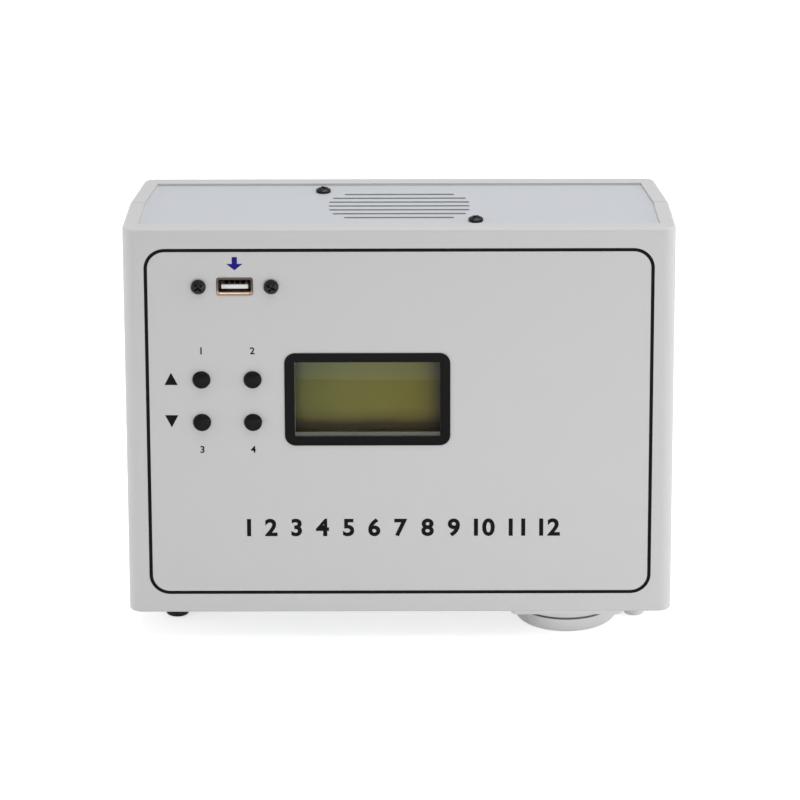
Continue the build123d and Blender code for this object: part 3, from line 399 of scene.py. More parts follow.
button_boxes = [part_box(f"button_{number}") for number in (1, 2, 3, 4)]
button_middles = [(low + high) / 2 for low, high in button_boxes]
label_rise = (0.0322, 0.0322, -0.0119, -0.0119)
label_height = 0.0031
label_weight = 0.03
for number, (middle, rise) in enumerate(zip(button_middles, label_rise), start=1):
    figures = number_shape(str(number), label_height, label_weight)
    print_on_face(f"number_{number}_print", figures, middle.x, rise, black_ink)

hour_count = 12
hour_height = 0.0076
hour_weight = 0.045
hour_rise = -0.0476
hour_middle = 0.0015
hour_row_width = 0.131
hour_figures = [
    number_shape(str(hour), hour_height, hour_weight) for hour in range(1, hour_count + 1)
]
figure_ends = []
for shape in hour_figures:
    across = [vert.co.x for vert in shape.verts]
    figure_ends.append((min(across), max(across)))
ink_width = sum(end - start for start, end in figure_ends)
hour_gap = (hour_row_width - ink_width) / (hour_count - 1)
hour_row = bmesh.new()
left = -hour_row_width / 2
for shape, (start, end) in zip(hour_figures, figure_ends):
    join(hour_row, shape, Matrix.Translation((left - start, 0, 0)))
    left += end - start + hour_gap
print_on_face("hour_row_print", hour_row, hour_middle, hour_rise, black_ink)

arrow_half_height = 0.0029
arrow_head_half_width = 0.0034
arrow_shaft_half_width = 0.0011
arrow_neck = -0.0001
arrow_rise = 0.0709
socket_low, socket_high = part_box("usb_shell")
arrow = bmesh.new()
right_side = [
    (arrow_shaft_half_width, arrow_half_height), (arrow_shaft_half_width, arrow_neck),
    (arrow_head_half_width, arrow_neck),
]
outline = right_side + [(0, -arrow_half_height)] + [(-x, z) for x, z in reversed(right_side)]
arrow.faces.new([arrow.verts.new((x, 0, z)) for x, z in outline])
arrow_x = (socket_low.x + socket_high.x) / 2
print_on_face("arrow_print", arrow, arrow_x, arrow_rise, blue_ink)


# ---- Screws that show: two at the socket, two in the top panel, four behind, four below ----
# Pan-head machine screws with a cross recess, black outside and zinc-plated behind. Each
# is turned, and its recess is pressed in with a tapered punch.
def turned(profile, rounded=(), radius=0.0, steps=64, round_steps=4):
    """A lathe piece: an outline of (radius, height) points, spun round Z."""
    bm = bmesh.new()
    points = [bm.verts.new((out, 0, height)) for out, height in profile]
    for pair in zip(points, points[1:]):
        bm.edges.new(pair)
    if rounded:
        bmesh.ops.bevel(
            bm, geom=[points[index] for index in rounded], affect="VERTICES", offset=radius,
            segments=round_steps, profile=0.5, material=-1,
        )
    bmesh.ops.spin(
        bm, geom=bm.verts[:] + bm.edges[:], cent=(0, 0, 0), axis=(0, 0, 1), angle=2 * math.pi,
        steps=steps, use_merge=True,
    )
    bmesh.ops.remove_doubles(bm, verts=bm.verts, dist=1e-7)
    bmesh.ops.recalc_face_normals(bm, faces=bm.faces)
    return bm


def combine(bm, tool, operation):
    """Cuts one closed shape out of another, or makes the two one."""
    holders = []
    for part in (bm, tool):
        holder = bpy.data.objects.new("blank", bpy.data.meshes.new("blank"))
        part.to_mesh(holder.data)
        part.free()
        bpy.context.scene.collection.objects.link(holder)
        holders.append(holder)
    cut = holders[0].modifiers.new("cut", "BOOLEAN")
    cut.operation = operation
    cut.solver = "EXACT"
    cut.object = holders[1]
    seen_now = bpy.context.evaluated_depsgraph_get()
    result = bpy.data.meshes.new_from_object(holders[0].evaluated_get(seen_now))
    made = bmesh.new()
    made.from_mesh(result)
    bmesh.ops.remove_doubles(made, verts=made.verts, dist=1e-6)
    bpy.data.meshes.remove(result)
    for holder in holders:
        bpy.data.meshes.remove(holder.data)
    return made


def painted_metal(name, colour, roughness, metallic=0.0, scratch=0.06, gloss=0.5):
    """Plated or blackened steel, with a roughness that varies as handled metal does."""
    smudges_per_metre = 900.0
    tint_spread = 0.1
    material, shader = new_material(name)
    shader.inputs["Metallic"].default_value = metallic
    shader.inputs["Specular IOR Level"].default_value = gloss
    place = add_node(material, "ShaderNodeTexCoord").outputs["Object"]
    smudges = add_node(
        material, "ShaderNodeTexNoise",
        {"Vector": place, "Scale": smudges_per_metre, "Detail": 3.0},
    )
    tint = add_node(
        material, "ShaderNodeMix",
        {
            "Factor": smudges.outputs["Fac"],
            6: (*[channel * (1 - tint_spread) for channel in colour[:3]], 1),
            7: (*[min(channel * (1 + tint_spread), 1) for channel in colour[:3]], 1),
        },
        data_type="RGBA",
    )
    material.node_tree.links.new(tint.outputs[2], shader.inputs["Base Color"])
    polish = add_node(
        material, "ShaderNodeMapRange",
        {
            "Value": smudges.outputs["Fac"],
            "To Min": roughness - scratch, "To Max": roughness + scratch,
        },
    )
    material.node_tree.links.new(polish.outputs[0], shader.inputs["Roughness"])
    return material


head_radius = 0.0031
head_height = 0.0019
shank_radius = 0.0015
head_edge_share = 0.5
dome_power = 3.0
dome_points = 8
recess_length = 0.0042
recess_width = 0.0009
recess_depth = 0.0016
recess_taper = 0.85


def cross_screw(length):
    """A pan-head screw along Z, head up, its seat at the origin."""
    outline = [(0, head_height)]
    for index in range(1, dome_points + 1):
        share = index / dome_points
        drop = head_height * (1 - head_edge_share) * share**dome_power
        outline.append((head_radius * share, head_height - drop))
    outline += [(head_radius, 0), (shank_radius, 0), (shank_radius, -length), (0, -length)]
    screw = turned(outline, steps=48)
    for quarter in (0, 90):
        punch = bmesh.new()
        bmesh.ops.create_cube(punch, size=1)
        punch_size = (recess_length, recess_width, 2 * recess_depth)
        bmesh.ops.scale(punch, verts=punch.verts, vec=punch_size)
        bmesh.ops.translate(punch, verts=punch.verts, vec=(0, 0, head_height))
        point = [vert for vert in punch.verts if vert.co.z < head_height]
        bmesh.ops.scale(punch, verts=point, vec=(recess_taper, recess_taper, 1))
        bmesh.ops.rotate(
            punch, verts=punch.verts, cent=(0, 0, 0),
            matrix=Matrix.Rotation(math.radians(quarter), 3, "Z"),
        )
        screw = combine(screw, punch, "DIFFERENCE")
    return screw


to_front = Matrix.Rotation(math.radians(90), 4, "X")
to_back = Matrix.Rotation(math.radians(-90), 4, "X")
to_top = Matrix.Identity(4)
to_bottom = Matrix.Rotation(math.radians(180), 4, "X")
black_steel = painted_metal("black_steel", screen_colour(13, 13, 14), 0.22, gloss=0.22)
zinc_steel = painted_metal("zinc_steel", screen_colour(178, 178, 176), 0.34, metallic=1.0)


def screw_set(node, seats, facing, turns, length, material):
    """Like screws at their seats, each turned its own way, as one piece for one CAD node."""
    group = bmesh.new()
    for seat, turn in zip(seats, turns):
        twist = Matrix.Rotation(math.radians(turn), 4, "Z")
        join(group, cross_screw(length), Matrix.Translation(seat) @ facing @ twist)
    piece = finish_piece(f"{node}_heads", group, material, "case", smooth_angle=40)
    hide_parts(node)


low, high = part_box("usb_screws")
inset = head_radius
middle_z = (low.z + high.z) / 2
seats = [Vector((x, low.y + head_height, middle_z)) for x in (low.x + inset, high.x - inset)]
screw_set(
    "usb_screws", seats, to_front, (38, 62), high.y - low.y - head_height, black_steel,
)
low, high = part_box("speaker_screws")
seat_z = high.z - head_height
seats = [
    Vector((low.x + inset, high.y - inset, seat_z)),
    Vector((high.x - inset, low.y + inset, seat_z)),
]
screw_set(
    "speaker_screws", seats, to_top, (20, 55), high.z - low.z - head_height, black_steel,
)
low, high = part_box("case_screws")
seats = [
    Vector((x, high.y - head_height, z))
    for x in (low.x + inset, high.x - inset)
    for z in (low.z + inset, high.z - inset)
]
screw_set(
    "case_screws", seats, to_back, (10, 50, 75, 30), high.y - low.y - head_height, zinc_steel,
)
low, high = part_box("outlet_screws")
outlet_seats = [
    Vector((x, y, low.z + head_height))
    for x in (low.x + inset, high.x - inset)
    for y in (low.y + inset, high.y - inset)
]
screw_set(
    "outlet_screws", outlet_seats, to_bottom, (15, 70, 40, 5), high.z - low.z - head_height,
    zinc_steel,
)


# ---- Push buttons: four caps, their plungers and switches ----
# Black moulded caps with a low dome and a softened edge. A collar behind the front wall
# keeps each cap in its hole, and a stem reaches to the plunger of the key switch.
button_black = moulded(
    "button_black", screen_colour(8, 8, 9), 0.3, gloss=0.1, grain_depth=0.000006
)
cap_radius = 0.0036
cap_dome = 0.0006
cap_edge = 0.0007
collar_front_depth = 0.00265
collar_back_depth = 0.00385
cap_collar_radius = 0.0048
stem_radius = 0.0024
for number, (low, high) in enumerate(button_boxes, start=1):
    depth = high.y - low.y
    proud = face_y - low.y
    outline = [
        (cap_radius * index / dome_points, depth - cap_dome * (index / dome_points) ** 2)
        for index in range(dome_points + 1)
    ]
    collar_front = depth - proud - collar_front_depth
    collar_back = depth - proud - collar_back_depth
    outline += [
        (cap_radius, collar_front), (cap_collar_radius, collar_front),
        (cap_collar_radius, collar_back), (stem_radius, collar_back), (stem_radius, 0), (0, 0),
    ]
    cap = turned(outline, rounded=[dome_points], radius=cap_edge, steps=56)
    middle = button_middles[number - 1]
    cap_place = Matrix.Translation((middle.x, high.y, middle.z)) @ to_front
    bmesh.ops.transform(cap, matrix=cap_place, verts=cap.verts)
    piece = finish_piece(
        f"button_cap_{number}", cap, button_black, f"button_{number}"
    )
    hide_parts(f"button_{number}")
dress(button_black, "key_switches")


# ---- USB socket: shell, tongue and contacts ----
# A folded nickel-plated shell whose mouth flares over the edge of its cut-out, with a
# white tongue and four sprung contacts on it.
tongue_white = moulded("tongue_white", screen_colour(240, 240, 238), 0.4)
# The contacts' gold is darkened as painted shade, for the shadow they lie in inside the socket.
contact_gold_in_painted_shade = painted_metal("contact_gold_in_painted_shade", screen_colour(60, 46, 30), 0.35, metallic=1.0)
low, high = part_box("usb_shell")
shell_middle = (low + high) / 2


def ramp(material, source, low_end, high_end, stops):
    """Colours along a value that runs between two ends."""
    share = add_node(
        material, "ShaderNodeMapRange", {"Value": source, "From Min": low_end, "From Max": high_end}
    )
    node = add_node(material, "ShaderNodeValToRGB", {"Fac": share.outputs[0]})
    elements = node.color_ramp.elements
    while len(elements) < len(stops):
        elements.new(0.5)
    for element, (position, colour) in zip(elements, stops):
        element.position = position
        element.color = colour
    return node.outputs["Color"]


nickel = painted_metal("nickel", screen_colour(176, 160, 142), 0.24, metallic=1.0, scratch=0.1)
nickel_shader = nickel.node_tree.nodes["Principled BSDF"]
nickel_place = add_node(nickel, "ShaderNodeTexCoord").outputs["Object"]
nickel_height = add_node(nickel, "ShaderNodeSeparateXYZ", {"Vector": nickel_place}).outputs["Z"]
# The shell is brownish nickel, painted by height. Its bottom lip is lighter and warmer, a painted
# reflection of the table below. Higher up, inside the mouth, it is darker, a painted shade. Its top
# edge is a little lighter again, a painted highlight.
brown_and_painted_light = ramp(
    nickel, nickel_height, low.z, high.z,
    [
        (0.0, screen_colour(150, 133, 117)),
        (0.14, screen_colour(142, 121, 104)),
        (0.3, screen_colour(84, 74, 66)),
        (0.85, screen_colour(66, 58, 54)),
        (1.0, screen_colour(98, 88, 82)),
    ],
)
nickel.node_tree.links.new(brown_and_painted_light, nickel_shader.inputs["Base Color"])
throat_narrowing = 0.0007
throat_lowering = 0.00085
shell_wall = 0.0004
shell_floor = 0.0004
shell_corner = 0.0011
flare_depth = 0.0012
flare_steps = 6


def throat(width, height, length):
    """Stations of a mouth that narrows in an eased curve and then runs straight back."""
    narrow = 1 - 2 * throat_narrowing / width
    shallow = 1 - 2 * throat_lowering / height
    stations = []
    for step in range(1, flare_steps + 1):
        share = math.sin(step / flare_steps * math.pi / 2)
        depth = flare_depth * step / flare_steps
        stations.append((1 + (narrow - 1) * share, 1 + (shallow - 1) * share, depth))
    return stations + [(narrow, shallow, length)]


def draw_back(bm, edges, stations):
    """Carries a loop of edges back from the mouth, drawn in at each station, and closes it."""
    wide, high, depth = 1, 1, 0
    for next_wide, next_high, next_depth in stations:
        grown = bmesh.ops.extrude_edge_only(bm, edges=edges)["geom"]
        points = [part for part in grown if isinstance(part, bmesh.types.BMVert)]
        edges = [part for part in grown if isinstance(part, bmesh.types.BMEdge)]
        bmesh.ops.translate(bm, verts=points, vec=(0, next_depth - depth, 0))
        bmesh.ops.scale(bm, verts=points, vec=(next_wide / wide, 1, next_high / high))
        wide, high, depth = next_wide, next_high, next_depth
    bmesh.ops.edgeloop_fill(bm, edges=edges)


def block(low_corner, high_corner):
    """A box between two corners."""
    bm = bmesh.new()
    bmesh.ops.create_cube(bm, size=1)
    size = Vector(high_corner) - Vector(low_corner)
    bmesh.ops.scale(bm, verts=bm.verts, vec=size)
    bmesh.ops.translate(bm, verts=bm.verts, vec=(Vector(low_corner) + Vector(high_corner)) / 2)
    return bm


mouth_width = high.x - low.x
mouth_height = high.z - low.z
shell_length = high.y - low.y
shell = rounded_plate(mouth_width, mouth_height, shell_corner, steps=5)
mouth = shell.faces[:]
bmesh.ops.inset_region(
    shell, faces=mouth, thickness=shell_wall, use_boundary=True, use_even_offset=True
)
inner_rim = mouth[0].edges[:]
outer_rim = [edge for edge in shell.edges if edge.is_boundary]
bmesh.ops.delete(shell, geom=mouth, context="FACES_ONLY")
draw_back(shell, outer_rim, throat(mouth_width, mouth_height, shell_length))
draw_back(
    shell, inner_rim,
    throat(mouth_width - 2 * shell_wall, mouth_height - 2 * shell_wall, shell_length - shell_floor),
)
bmesh.ops.recalc_face_normals(shell, faces=shell.faces)
bmesh.ops.translate(shell, verts=shell.verts, vec=(shell_middle.x, low.y, shell_middle.z))
piece = finish_piece("usb_flared_shell", shell, nickel, "case", smooth_angle=50)
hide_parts("usb_shell")

tongue_edge = 0.0002
low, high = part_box("usb_tongue")
tongue = block(low, high)
bmesh.ops.bevel(
    tongue, geom=tongue.edges[:], affect="EDGES", offset=tongue_edge, segments=2, profile=0.5,
    material=-1,
)
piece = finish_piece("usb_tongue_block", tongue, tongue_white, "case")
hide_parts("usb_tongue")

low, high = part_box("usb_contacts")
contact_count = 4
contact_width = 0.0015
contact_rise = 0.0011
contact_bow = 0.0035
bow_steps = 8
contact_inset = 0.0005
contact_pitch = (high.x - low.x - 2 * contact_inset) / (contact_count - 1)
springs = bmesh.new()
for index in range(contact_count):
    x = low.x + contact_inset + index * contact_pitch
    spring = bmesh.new()
    line = [
        spring.verts.new(
            (
                x - contact_width / 2,
                low.y + contact_bow * step / bow_steps,
                low.z + contact_rise * math.sin(math.pi * step / bow_steps),
            )
        )
        for step in range(bow_steps + 1)
    ]
    line.append(spring.verts.new((x - contact_width / 2, high.y, low.z)))
    for pair in zip(line, line[1:]):
        spring.edges.new(pair)
    swept = bmesh.ops.extrude_edge_only(spring, edges=spring.edges[:])["geom"]
    far_side = [part for part in swept if isinstance(part, bmesh.types.BMVert)]
    bmesh.ops.translate(spring, verts=far_side, vec=(contact_width, 0, 0))
    bmesh.ops.recalc_face_normals(spring, faces=spring.faces)
    bmesh.ops.solidify(spring, geom=spring.faces[:], thickness=high.z - low.z)
    join(springs, spring, Matrix.Identity(4))
piece = finish_piece("usb_contact_springs", springs, contact_gold_in_painted_shade, "case")
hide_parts("usb_contacts")


# ---- Display: printed frame, lens, glass and module ----
# A black frame is printed round the window, whose clear lens sits flush in the face. The
# unlit reflective glass lies 5 mm behind it, olive, greener at the left than at the right.
frame_black = moulded(
    "frame_black", screen_colour(16, 14, 15), 0.3, gloss=0.06, grain_depth=0.000004
)
dress(frame_black, "window_bezel")

lens_clear, lens_shader = new_material("lens_clear")
lens_shader.inputs["Base Color"].default_value = screen_colour(64, 63, 28)
lens_shader.inputs["IOR"].default_value = 1.49
lens_shader.inputs["Specular IOR Level"].default_value = 0.3
lens_place = add_node(lens_clear, "ShaderNodeTexCoord").outputs["Object"]
window_low, window_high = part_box("window_lens")
window_middle = (window_low + window_high) / 2
window_half_width = 0.03015
window_half_height = 0.01665
# The lens carries a faint olive haze all over. Over the bottom 2.1 mm of the window, where the
# window's lower wall shows, the haze turns denser.
lower_band_height = 0.0021
lower_band_fade = 0.0003
lower_band_haze = 0.32
lens_haze = 0.05
lens_height = add_node(lens_clear, "ShaderNodeSeparateXYZ", {"Vector": lens_place}).outputs["Z"]
lower_band_edge = window_middle.z - window_half_height + lower_band_height
haze = add_node(
    lens_clear, "ShaderNodeMapRange",
    {
        "Value": lens_height, "From Min": lower_band_edge, "From Max": lower_band_edge + lower_band_fade,
        "To Min": lower_band_haze, "To Max": lens_haze,
    },
)
lens_clear.node_tree.links.new(haze.outputs[0], lens_shader.inputs["Alpha"])
wipe_marks = add_node(
    lens_clear, "ShaderNodeTexNoise", {"Vector": lens_place, "Scale": 140.0, "Detail": 4.0}
)
lens_polish = add_node(
    lens_clear, "ShaderNodeMapRange",
    {"Value": wipe_marks.outputs["Fac"], "To Min": 0.03, "To Max": 0.1},
)
lens_clear.node_tree.links.new(lens_polish.outputs[0], lens_shader.inputs["Roughness"])
dress(lens_clear, "window_lens")

glass, glass_shader = new_material("display_glass")
glass_place = add_node(glass, "ShaderNodeTexCoord").outputs["Object"]
to_middle = (-window_middle.x / window_half_width, 0, -window_middle.z / window_half_height)
centred = add_node(
    glass, "ShaderNodeMapping",
    {
        "Vector": glass_place, "Location": to_middle,
        "Scale": (1 / window_half_width, 1, 1 / window_half_height),
    },
)
across_up = add_node(glass, "ShaderNodeSeparateXYZ", {"Vector": centred.outputs[0]})
# Painted light on the glass, by height: a dark band of painted shade along the bottom, and a
# lighter, bluer painted reflection across the upper part. The lower edge of the reflection waves.
reflection_wave_reach = 0.14
reflection_wave_noise = add_node(
    glass, "ShaderNodeTexNoise", {"Vector": centred.outputs[0], "Scale": 1.3, "Detail": 1.0}
)
reflection_wave_height = add_node(
    glass, "ShaderNodeMath", {0: reflection_wave_noise.outputs["Fac"], 1: reflection_wave_reach}, operation="MULTIPLY"
)
painted_light_height = add_node(
    glass, "ShaderNodeMath", {0: across_up.outputs["Z"], 1: reflection_wave_height.outputs[0]},
    operation="ADD",
)
glass_gain = 1.42


def glass_colour(red, green, blue):
    """A colour of the glass, raised for the shade at the bottom of its window."""
    return (*[channel * glass_gain for channel in screen_colour(red, green, blue)[:3]], 1)


# Across the glass the olive is greener at the left. Both ends darken as painted shade from the
# window's side walls.
olive = ramp(
    glass, across_up.outputs["X"], -1, 1,
    [
        (0.0, glass_colour(64, 67, 41)),
        (0.06, glass_colour(89, 91, 52)),
        (0.14, glass_colour(96, 95, 53)),
        (0.32, glass_colour(101, 100, 54)),
        (0.6, glass_colour(103, 101, 52)),
        (0.8, glass_colour(101, 97, 49)),
        (0.9, glass_colour(94, 90, 48)),
        (1.0, glass_colour(66, 64, 47)),
    ],
)
painted_shade_and_reflection = ramp(
    glass, painted_light_height.outputs[0], -1, 1,
    [
        (0.035, (0.08, 0.08, 0.1, 1)),
        (0.075, (0.3, 0.25, 0.5, 1)),
        (0.14, (0.33, 0.27, 0.6, 1)),
        (0.25, (0.84, 0.76, 0.84, 1)),
        (0.36, (1.0, 1.0, 1.0, 1)),
        (0.725, (1.0, 1.0, 1.0, 1)),
        (0.735, (1.15, 1.18, 1.7, 1)),
        (1.0, (1.03, 1.12, 2.0, 1)),
    ],
)
glass_with_painted_light = add_node(
    glass, "ShaderNodeMix", {"Factor": 1.0, 6: olive, 7: painted_shade_and_reflection}, data_type="RGBA",
    blend_type="MULTIPLY",
)
glass.node_tree.links.new(glass_with_painted_light.outputs[2], glass_shader.inputs["Base Color"])
glass_shader.inputs["Roughness"].default_value = 0.3
glass_shader.inputs["Specular IOR Level"].default_value = 0.05
dress(glass, "lcd_glass")
dress(black_steel, "lcd_frame")


# ---- Mains outlet: flange with collar and well, insert, clips, seal and sprung lid ----
# One square moulding with a round collar holds the well. A thick round lid with soft edges
# closes on a rubber seal, and turns on a steel pin between two lugs at the rear.
# The flange's and lid's greys are lighter than the plastic's own colour. This is painted light,
# making up for the shade under the case.
outlet_grey = moulded("outlet_grey", screen_colour(216, 217, 217), 0.45)
lid_grey = moulded("lid_grey", screen_colour(220, 220, 220), 0.45)
insert_grey = moulded("insert_grey", screen_colour(190, 192, 192), 0.5)
rubber = moulded("rubber", screen_colour(38, 38, 38), 0.7, grain_depth=0.00001)
# The seal is given the mid grey of the shadowed gap between lid and collar, as painted shade.
seal_grey_of_gap_shade = moulded("seal_grey_of_gap_shade", screen_colour(84, 86, 86), 0.7, grain_depth=0.00001)
brass = painted_metal("brass", screen_colour(200, 170, 95), 0.3, metallic=1.0)
bright_steel = painted_metal("bright_steel", screen_colour(200, 200, 200), 0.22, metallic=1.0)
flange_low, flange_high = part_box("outlet_flange")
lid_low, lid_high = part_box("outlet_lid")
pin_low, pin_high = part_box("hinge_pin")
seal_low, seal_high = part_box("lid_seal")
hinge = (pin_low + pin_high) / 2
pin_radius = (pin_high.z - pin_low.z) / 2
hinge_half = (pin_high.x - pin_low.x) / 2
outlet_x = (lid_low.x + lid_high.x) / 2
outlet_y = (seal_low.y + seal_high.y) / 2
panel_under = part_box("bottom_panel")[0].z
lid_top = seal_low.z
collar_face = seal_high.z
lid_radius = (lid_high.x - lid_low.x) / 2
lid_edge = 0.0014
lid_rim = 0.0032
lid_skin = 0.002
knuckle_radius = 0.0022
knuckle_width = 0.0036
lug_width = 0.003
knuckle_gap = 0.0003
pin_play = 0.00005
pin_bore = pin_radius + pin_play
outlet_steps = 160
to_side = Matrix.Rotation(math.radians(90), 4, "Y")


def on_hinge(outline, start):
    """A piece turned on the hinge axis, from one point along it."""
    bm = turned(outline, steps=40)
    place = Matrix.Translation((start, hinge.y, hinge.z)) @ to_side
    bmesh.ops.transform(bm, matrix=place, verts=bm.verts)
    return bm


def rod(radius, length):
    """The outline of a plain rod, for the lathe."""
    return [(0, 0), (radius, 0), (radius, length), (0, length)]


lid = turned(
    [
        (0, lid_skin), (lid_radius - lid_rim, lid_skin), (lid_radius - lid_rim, lid_top),
        (lid_radius, lid_top), (lid_radius, 0), (0, 0),
    ],
    rounded=[4], radius=lid_edge, steps=outlet_steps, round_steps=6,
)
bmesh.ops.translate(lid, verts=lid.verts, vec=(outlet_x, outlet_y, 0))
arm_bite = 0.003
arm_step = 0.0002
span = hinge_half - lug_width - knuckle_gap
for left in (outlet_x - span, outlet_x + span - knuckle_width):
    barrel = on_hinge(
        [
            (pin_bore, 0), (knuckle_radius, 0), (knuckle_radius, knuckle_width),
            (pin_bore, knuckle_width), (pin_bore, 0),
        ],
        left,
    )
    arm = block(
        (left, outlet_y + lid_radius - arm_bite, hinge.z - knuckle_radius),
        (left + knuckle_width, hinge.y - pin_radius, lid_top - arm_step),
    )
    lid = combine(lid, combine(barrel, arm, "UNION"), "UNION")
piece = finish_piece("outlet_lid_cap", lid, lid_grey, "lid", smooth_angle=40)
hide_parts("outlet_lid")

flange_side = flange_high.x - flange_low.x
flange_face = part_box("outlet_screws")[0].z
plate_depth = panel_under - flange_face
flange_corner = 0.003
flange_edge = 0.0008
collar_margin = 0.0005
collar_radius = lid_radius + collar_margin
collar_edge = 0.0006
collar_bite = 0.001
well_radius = 0.0196
well_wall = 0.002
pocket_radius = 0.0034
plate = bmesh.new()
bmesh.ops.create_cube(plate, size=1)
bmesh.ops.scale(plate, verts=plate.verts, vec=(flange_side, flange_side, plate_depth))
upright = [edge for edge in plate.edges if edge.verts[0].co.z * edge.verts[1].co.z < 0]
bmesh.ops.bevel(
    plate, geom=upright, affect="EDGES", offset=flange_corner, segments=8, profile=0.5, material=-1
)
under = [edge for edge in plate.edges if all(vert.co.z < 0 for vert in edge.verts)]
bmesh.ops.bevel(
    plate, geom=under, affect="EDGES", offset=flange_edge, segments=3, profile=0.5, material=-1
)
bmesh.ops.translate(
    plate, verts=plate.verts, vec=(outlet_x, outlet_y, (flange_face + panel_under) / 2)
)
overrun = 0.001
plate_hole = well_radius + well_wall / 2
hole = turned(rod(plate_hole, plate_depth + 2 * overrun), steps=outlet_steps)
bmesh.ops.translate(hole, verts=hole.verts, vec=(outlet_x, outlet_y, flange_face - overrun))
plate = combine(plate, hole, "DIFFERENCE")
well_top = (well_radius, flange_high.z)
tube = turned(
    [
        well_top, (well_radius + well_wall, flange_high.z),
        (well_radius + well_wall, flange_face + collar_bite),
        (collar_radius, flange_face + collar_bite), (collar_radius, collar_face),
        (well_radius, collar_face), well_top,
    ],
    rounded=[4], radius=collar_edge, steps=outlet_steps,
)
bmesh.ops.translate(tube, verts=tube.verts, vec=(outlet_x, outlet_y, 0))
flange = combine(plate, tube, "UNION")
neck_ease = 0.00005
neck_depth = 0.0005
neck_half = knuckle_radius - neck_ease
for side in (-1, 1):
    left = outlet_x + side * (hinge_half - lug_width / 2) - lug_width / 2
    lug = on_hinge(rod(knuckle_radius, lug_width), left)
    neck = block(
        (left + neck_ease, hinge.y - neck_half, hinge.z),
        (left + lug_width - neck_ease, hinge.y + neck_half, flange_face + neck_depth),
    )
    flange = combine(flange, combine(lug, neck, "UNION"), "UNION")
pin_room = rod(pin_bore, 2 * (hinge_half + overrun))
flange = combine(flange, on_hinge(pin_room, outlet_x - hinge_half - overrun), "DIFFERENCE")
swing_half = span + knuckle_gap - neck_ease
swing_room = rod(knuckle_radius + knuckle_gap, 2 * swing_half)
flange = combine(flange, on_hinge(swing_room, outlet_x - swing_half), "DIFFERENCE")
for seat in outlet_seats:
    pocket = turned(rod(pocket_radius, seat.z - flange_face + overrun), steps=48)
    bmesh.ops.translate(pocket, verts=pocket.verts, vec=(seat.x, seat.y, flange_face - overrun))
    flange = combine(flange, pocket, "DIFFERENCE")
piece = finish_piece(
    "outlet_flange_body", flange, outlet_grey, "case", smooth_angle=40
)
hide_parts("outlet_flange")
dress(insert_grey, "outlet_insert")
dress(seal_grey_of_gap_shade, "lid_seal")
dress(brass, "outlet_contacts")
dress(bright_steel, "hinge_pin", "earth_clips")

spring_wire = 0.0006
spring_turns = 5
turn_steps = 28
coil_steps = turn_steps * (spring_turns - 1)
wire_slack = 0.00002
low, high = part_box("lid_spring")
coil_radius = (high.z - low.z - spring_wire) / 2
coil = bmesh.new()
bmesh.ops.create_circle(coil, segments=10, radius=spring_wire / 2 - wire_slack)
bmesh.ops.rotate(coil, verts=coil.verts, cent=(0, 0, 0), matrix=stand_up)
bmesh.ops.translate(coil, verts=coil.verts, vec=(coil_radius, 0, 0))
coil_rise = high.x - low.x - spring_wire
bmesh.ops.spin(
    coil, geom=coil.verts[:] + coil.edges[:], cent=(0, 0, 0), axis=(0, 0, 1),
    angle=2 * math.pi * (spring_turns - 1), steps=coil_steps,
    dvec=(0, 0, coil_rise / coil_steps), use_merge=False,
)
bmesh.ops.holes_fill(coil, edges=[edge for edge in coil.edges if edge.is_boundary])
bmesh.ops.recalc_face_normals(coil, faces=coil.faces)
spring_start = Vector((low.x + spring_wire / 2, hinge.y, hinge.z))
bmesh.ops.transform(coil, matrix=Matrix.Translation(spring_start) @ to_side, verts=coil.verts)
piece = finish_piece("lid_spring_coil", coil, bright_steel, "case")
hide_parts("lid_spring")


# ---- Two cable glands ----
# Hexagon bodies with domed cap nuts, whose corners are turned off. The lead would leave
# through a rubber sleeve in the tip. The right one is light grey, and the left is black.
gland_black = moulded(
    "gland_black", screen_colour(16, 16, 17), 0.4, gloss=0.2, grain_depth=0.00001
)
gland_grey = moulded("gland_grey", screen_colour(222, 225, 224), 0.42, grain_depth=0.00001)
cap_hex_height = 0.0044
cap_tip_height = 0.0026
cap_tip_edge = 0.0007
cap_corner_cut = 0.0006
cap_sleeve_room = 0.001
cap_dome_inset = 0.0003
cap_dome_bite = 0.001
cap_dome_points = 7
envelope_ease = 0.0001
mains_tip_radius = 0.0044
mains_lead_radius = 0.0029
audio_tip_radius = 0.0049
audio_lead_radius = 0.0025


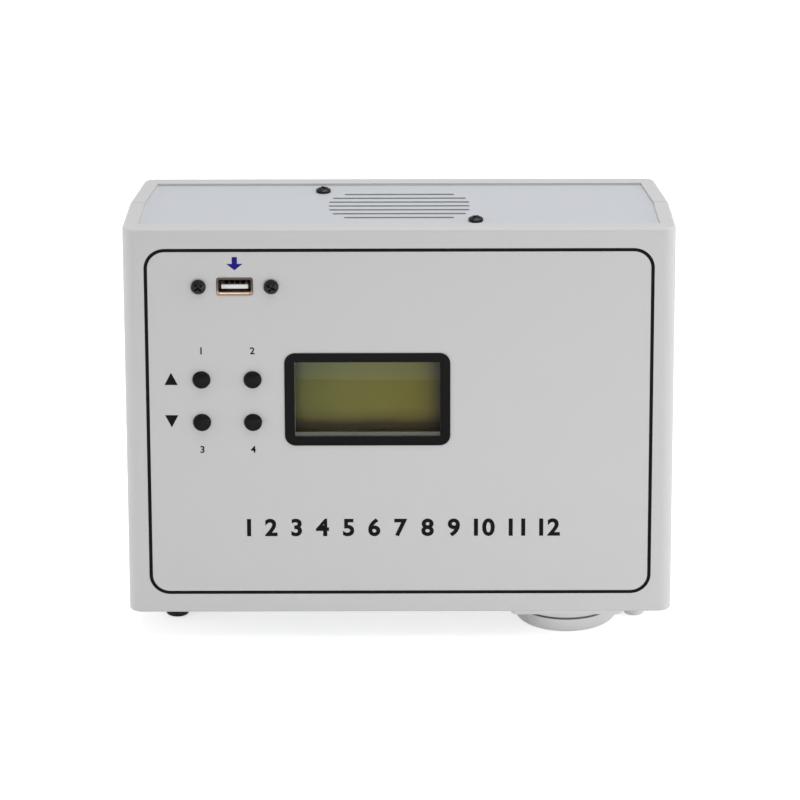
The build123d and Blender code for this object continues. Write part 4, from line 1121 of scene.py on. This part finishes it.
def domed_cap(node, tip_radius, lead_radius):
    """A cap nut: a hexagon with turned corners, a dome under it, and a bored round tip."""
    low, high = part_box(node)
    flats = high.x - low.x
    corner = (high.y - low.y) / 2
    hex_low = high.z - cap_hex_height
    nut = bmesh.new()
    bmesh.ops.create_cone(
        nut, cap_ends=True, segments=6, radius1=corner, radius2=corner, depth=cap_hex_height
    )
    bmesh.ops.translate(nut, verts=nut.verts, vec=(0, 0, hex_low + cap_hex_height / 2))
    envelope = turned(
        [
            (0, high.z + overrun), (corner + overrun, high.z + overrun),
            (corner + overrun, high.z), (corner, high.z), (corner, hex_low + cap_corner_cut),
            (flats / 2, hex_low - envelope_ease), (0, hex_low - envelope_ease),
        ]
    )
    nut = combine(nut, envelope, "INTERSECT")
    dome_radius = flats / 2 - cap_dome_inset
    outline = [(0, hex_low + cap_dome_bite), (dome_radius, hex_low + cap_dome_bite)]
    for step in range(cap_dome_points + 1):
        angle = step / cap_dome_points * math.pi / 2
        out = tip_radius + (dome_radius - tip_radius) * math.cos(angle)
        outline.append((out, hex_low - (hex_low - cap_tip_height) * math.sin(angle)))
    outline += [(tip_radius, 0), (0, 0)]
    dome = turned(outline, rounded=[len(outline) - 2], radius=cap_tip_edge)
    nut = combine(nut, dome, "UNION")
    room = lead_radius + cap_sleeve_room
    bore = turned(
        [
            (0, -overrun), (lead_radius, -overrun), (lead_radius, cap_tip_height),
            (room, cap_tip_height), (room, high.z + overrun), (0, high.z + overrun),
        ]
    )
    nut = combine(nut, bore, "DIFFERENCE")
    middle = (low + high) / 2
    bmesh.ops.translate(nut, verts=nut.verts, vec=(middle.x, middle.y, 0))
    return nut


cap = domed_cap("mains_gland_cap", mains_tip_radius, mains_lead_radius)
piece = finish_piece("mains_cap_nut", cap, gland_grey, "case")
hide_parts("mains_gland_cap")
cap = domed_cap("audio_gland_cap", audio_tip_radius, audio_lead_radius)
piece = finish_piece("audio_cap_nut", cap, gland_black, "case")
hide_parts("audio_gland_cap")
dress(gland_grey, "mains_gland_body")
dress(gland_black, "audio_gland_body", "gland_nuts")
dress(rubber, "gland_seals")


# ---- What the case hides ----
# Display board and light, key board, socket carrier, speaker, main board with its parts,
# and the mains transformer. They show only through the slots and keyholes.
board_green = moulded(
    "board_green", screen_colour(34, 84, 52), 0.35, grain_size=0.0012, unevenness=0.12
)
part_black = moulded("part_black", screen_colour(34, 34, 35), 0.45)
part_white = moulded("part_white", screen_colour(226, 226, 222), 0.5)
relay_blue = moulded("relay_blue", screen_colour(40, 84, 150), 0.4)
terminal_green = moulded("terminal_green", screen_colour(44, 120, 70), 0.45)
paper_black = moulded(
    "paper_black", screen_colour(44, 42, 40), 0.85, grain_size=0.0006, unevenness=0.1
)
ferrite_grey = moulded("ferrite_grey", screen_colour(70, 70, 72), 0.6, grain_size=0.0005)
winding_tape = moulded("winding_tape", screen_colour(206, 168, 60), 0.4, grain_size=0.001)
core_steel = painted_metal("core_steel", screen_colour(105, 104, 106), 0.45, metallic=1.0)
sink_aluminium = painted_metal("sink_aluminium", screen_colour(170, 172, 175), 0.4, metallic=1.0)
dress(board_green, "lcd_board", "key_board", "main_board")
dress(part_white, "lcd_backlight", "coin_cell_holder", "fuse_holder")
dress(part_black, "usb_carrier", "processor", "capacitors")
dress(part_white, "switch_plunger_1", "switch_plunger_2", "switch_plunger_3", "switch_plunger_4")
dress(relay_blue, "relay")
dress(terminal_green, "terminal_blocks")
dress(paper_black, "speaker_cone")
dress(ferrite_grey, "speaker_magnet")
dress(winding_tape, "transformer_coil")
dress(core_steel, "transformer_core")
dress(zinc_steel, "speaker_frame", "m3_nuts", "board_screws")
dress(zinc_steel, "transformer_strap", "transformer_screws")
dress(sink_aluminium, "amplifier")
dress(bright_steel, "coin_cell")
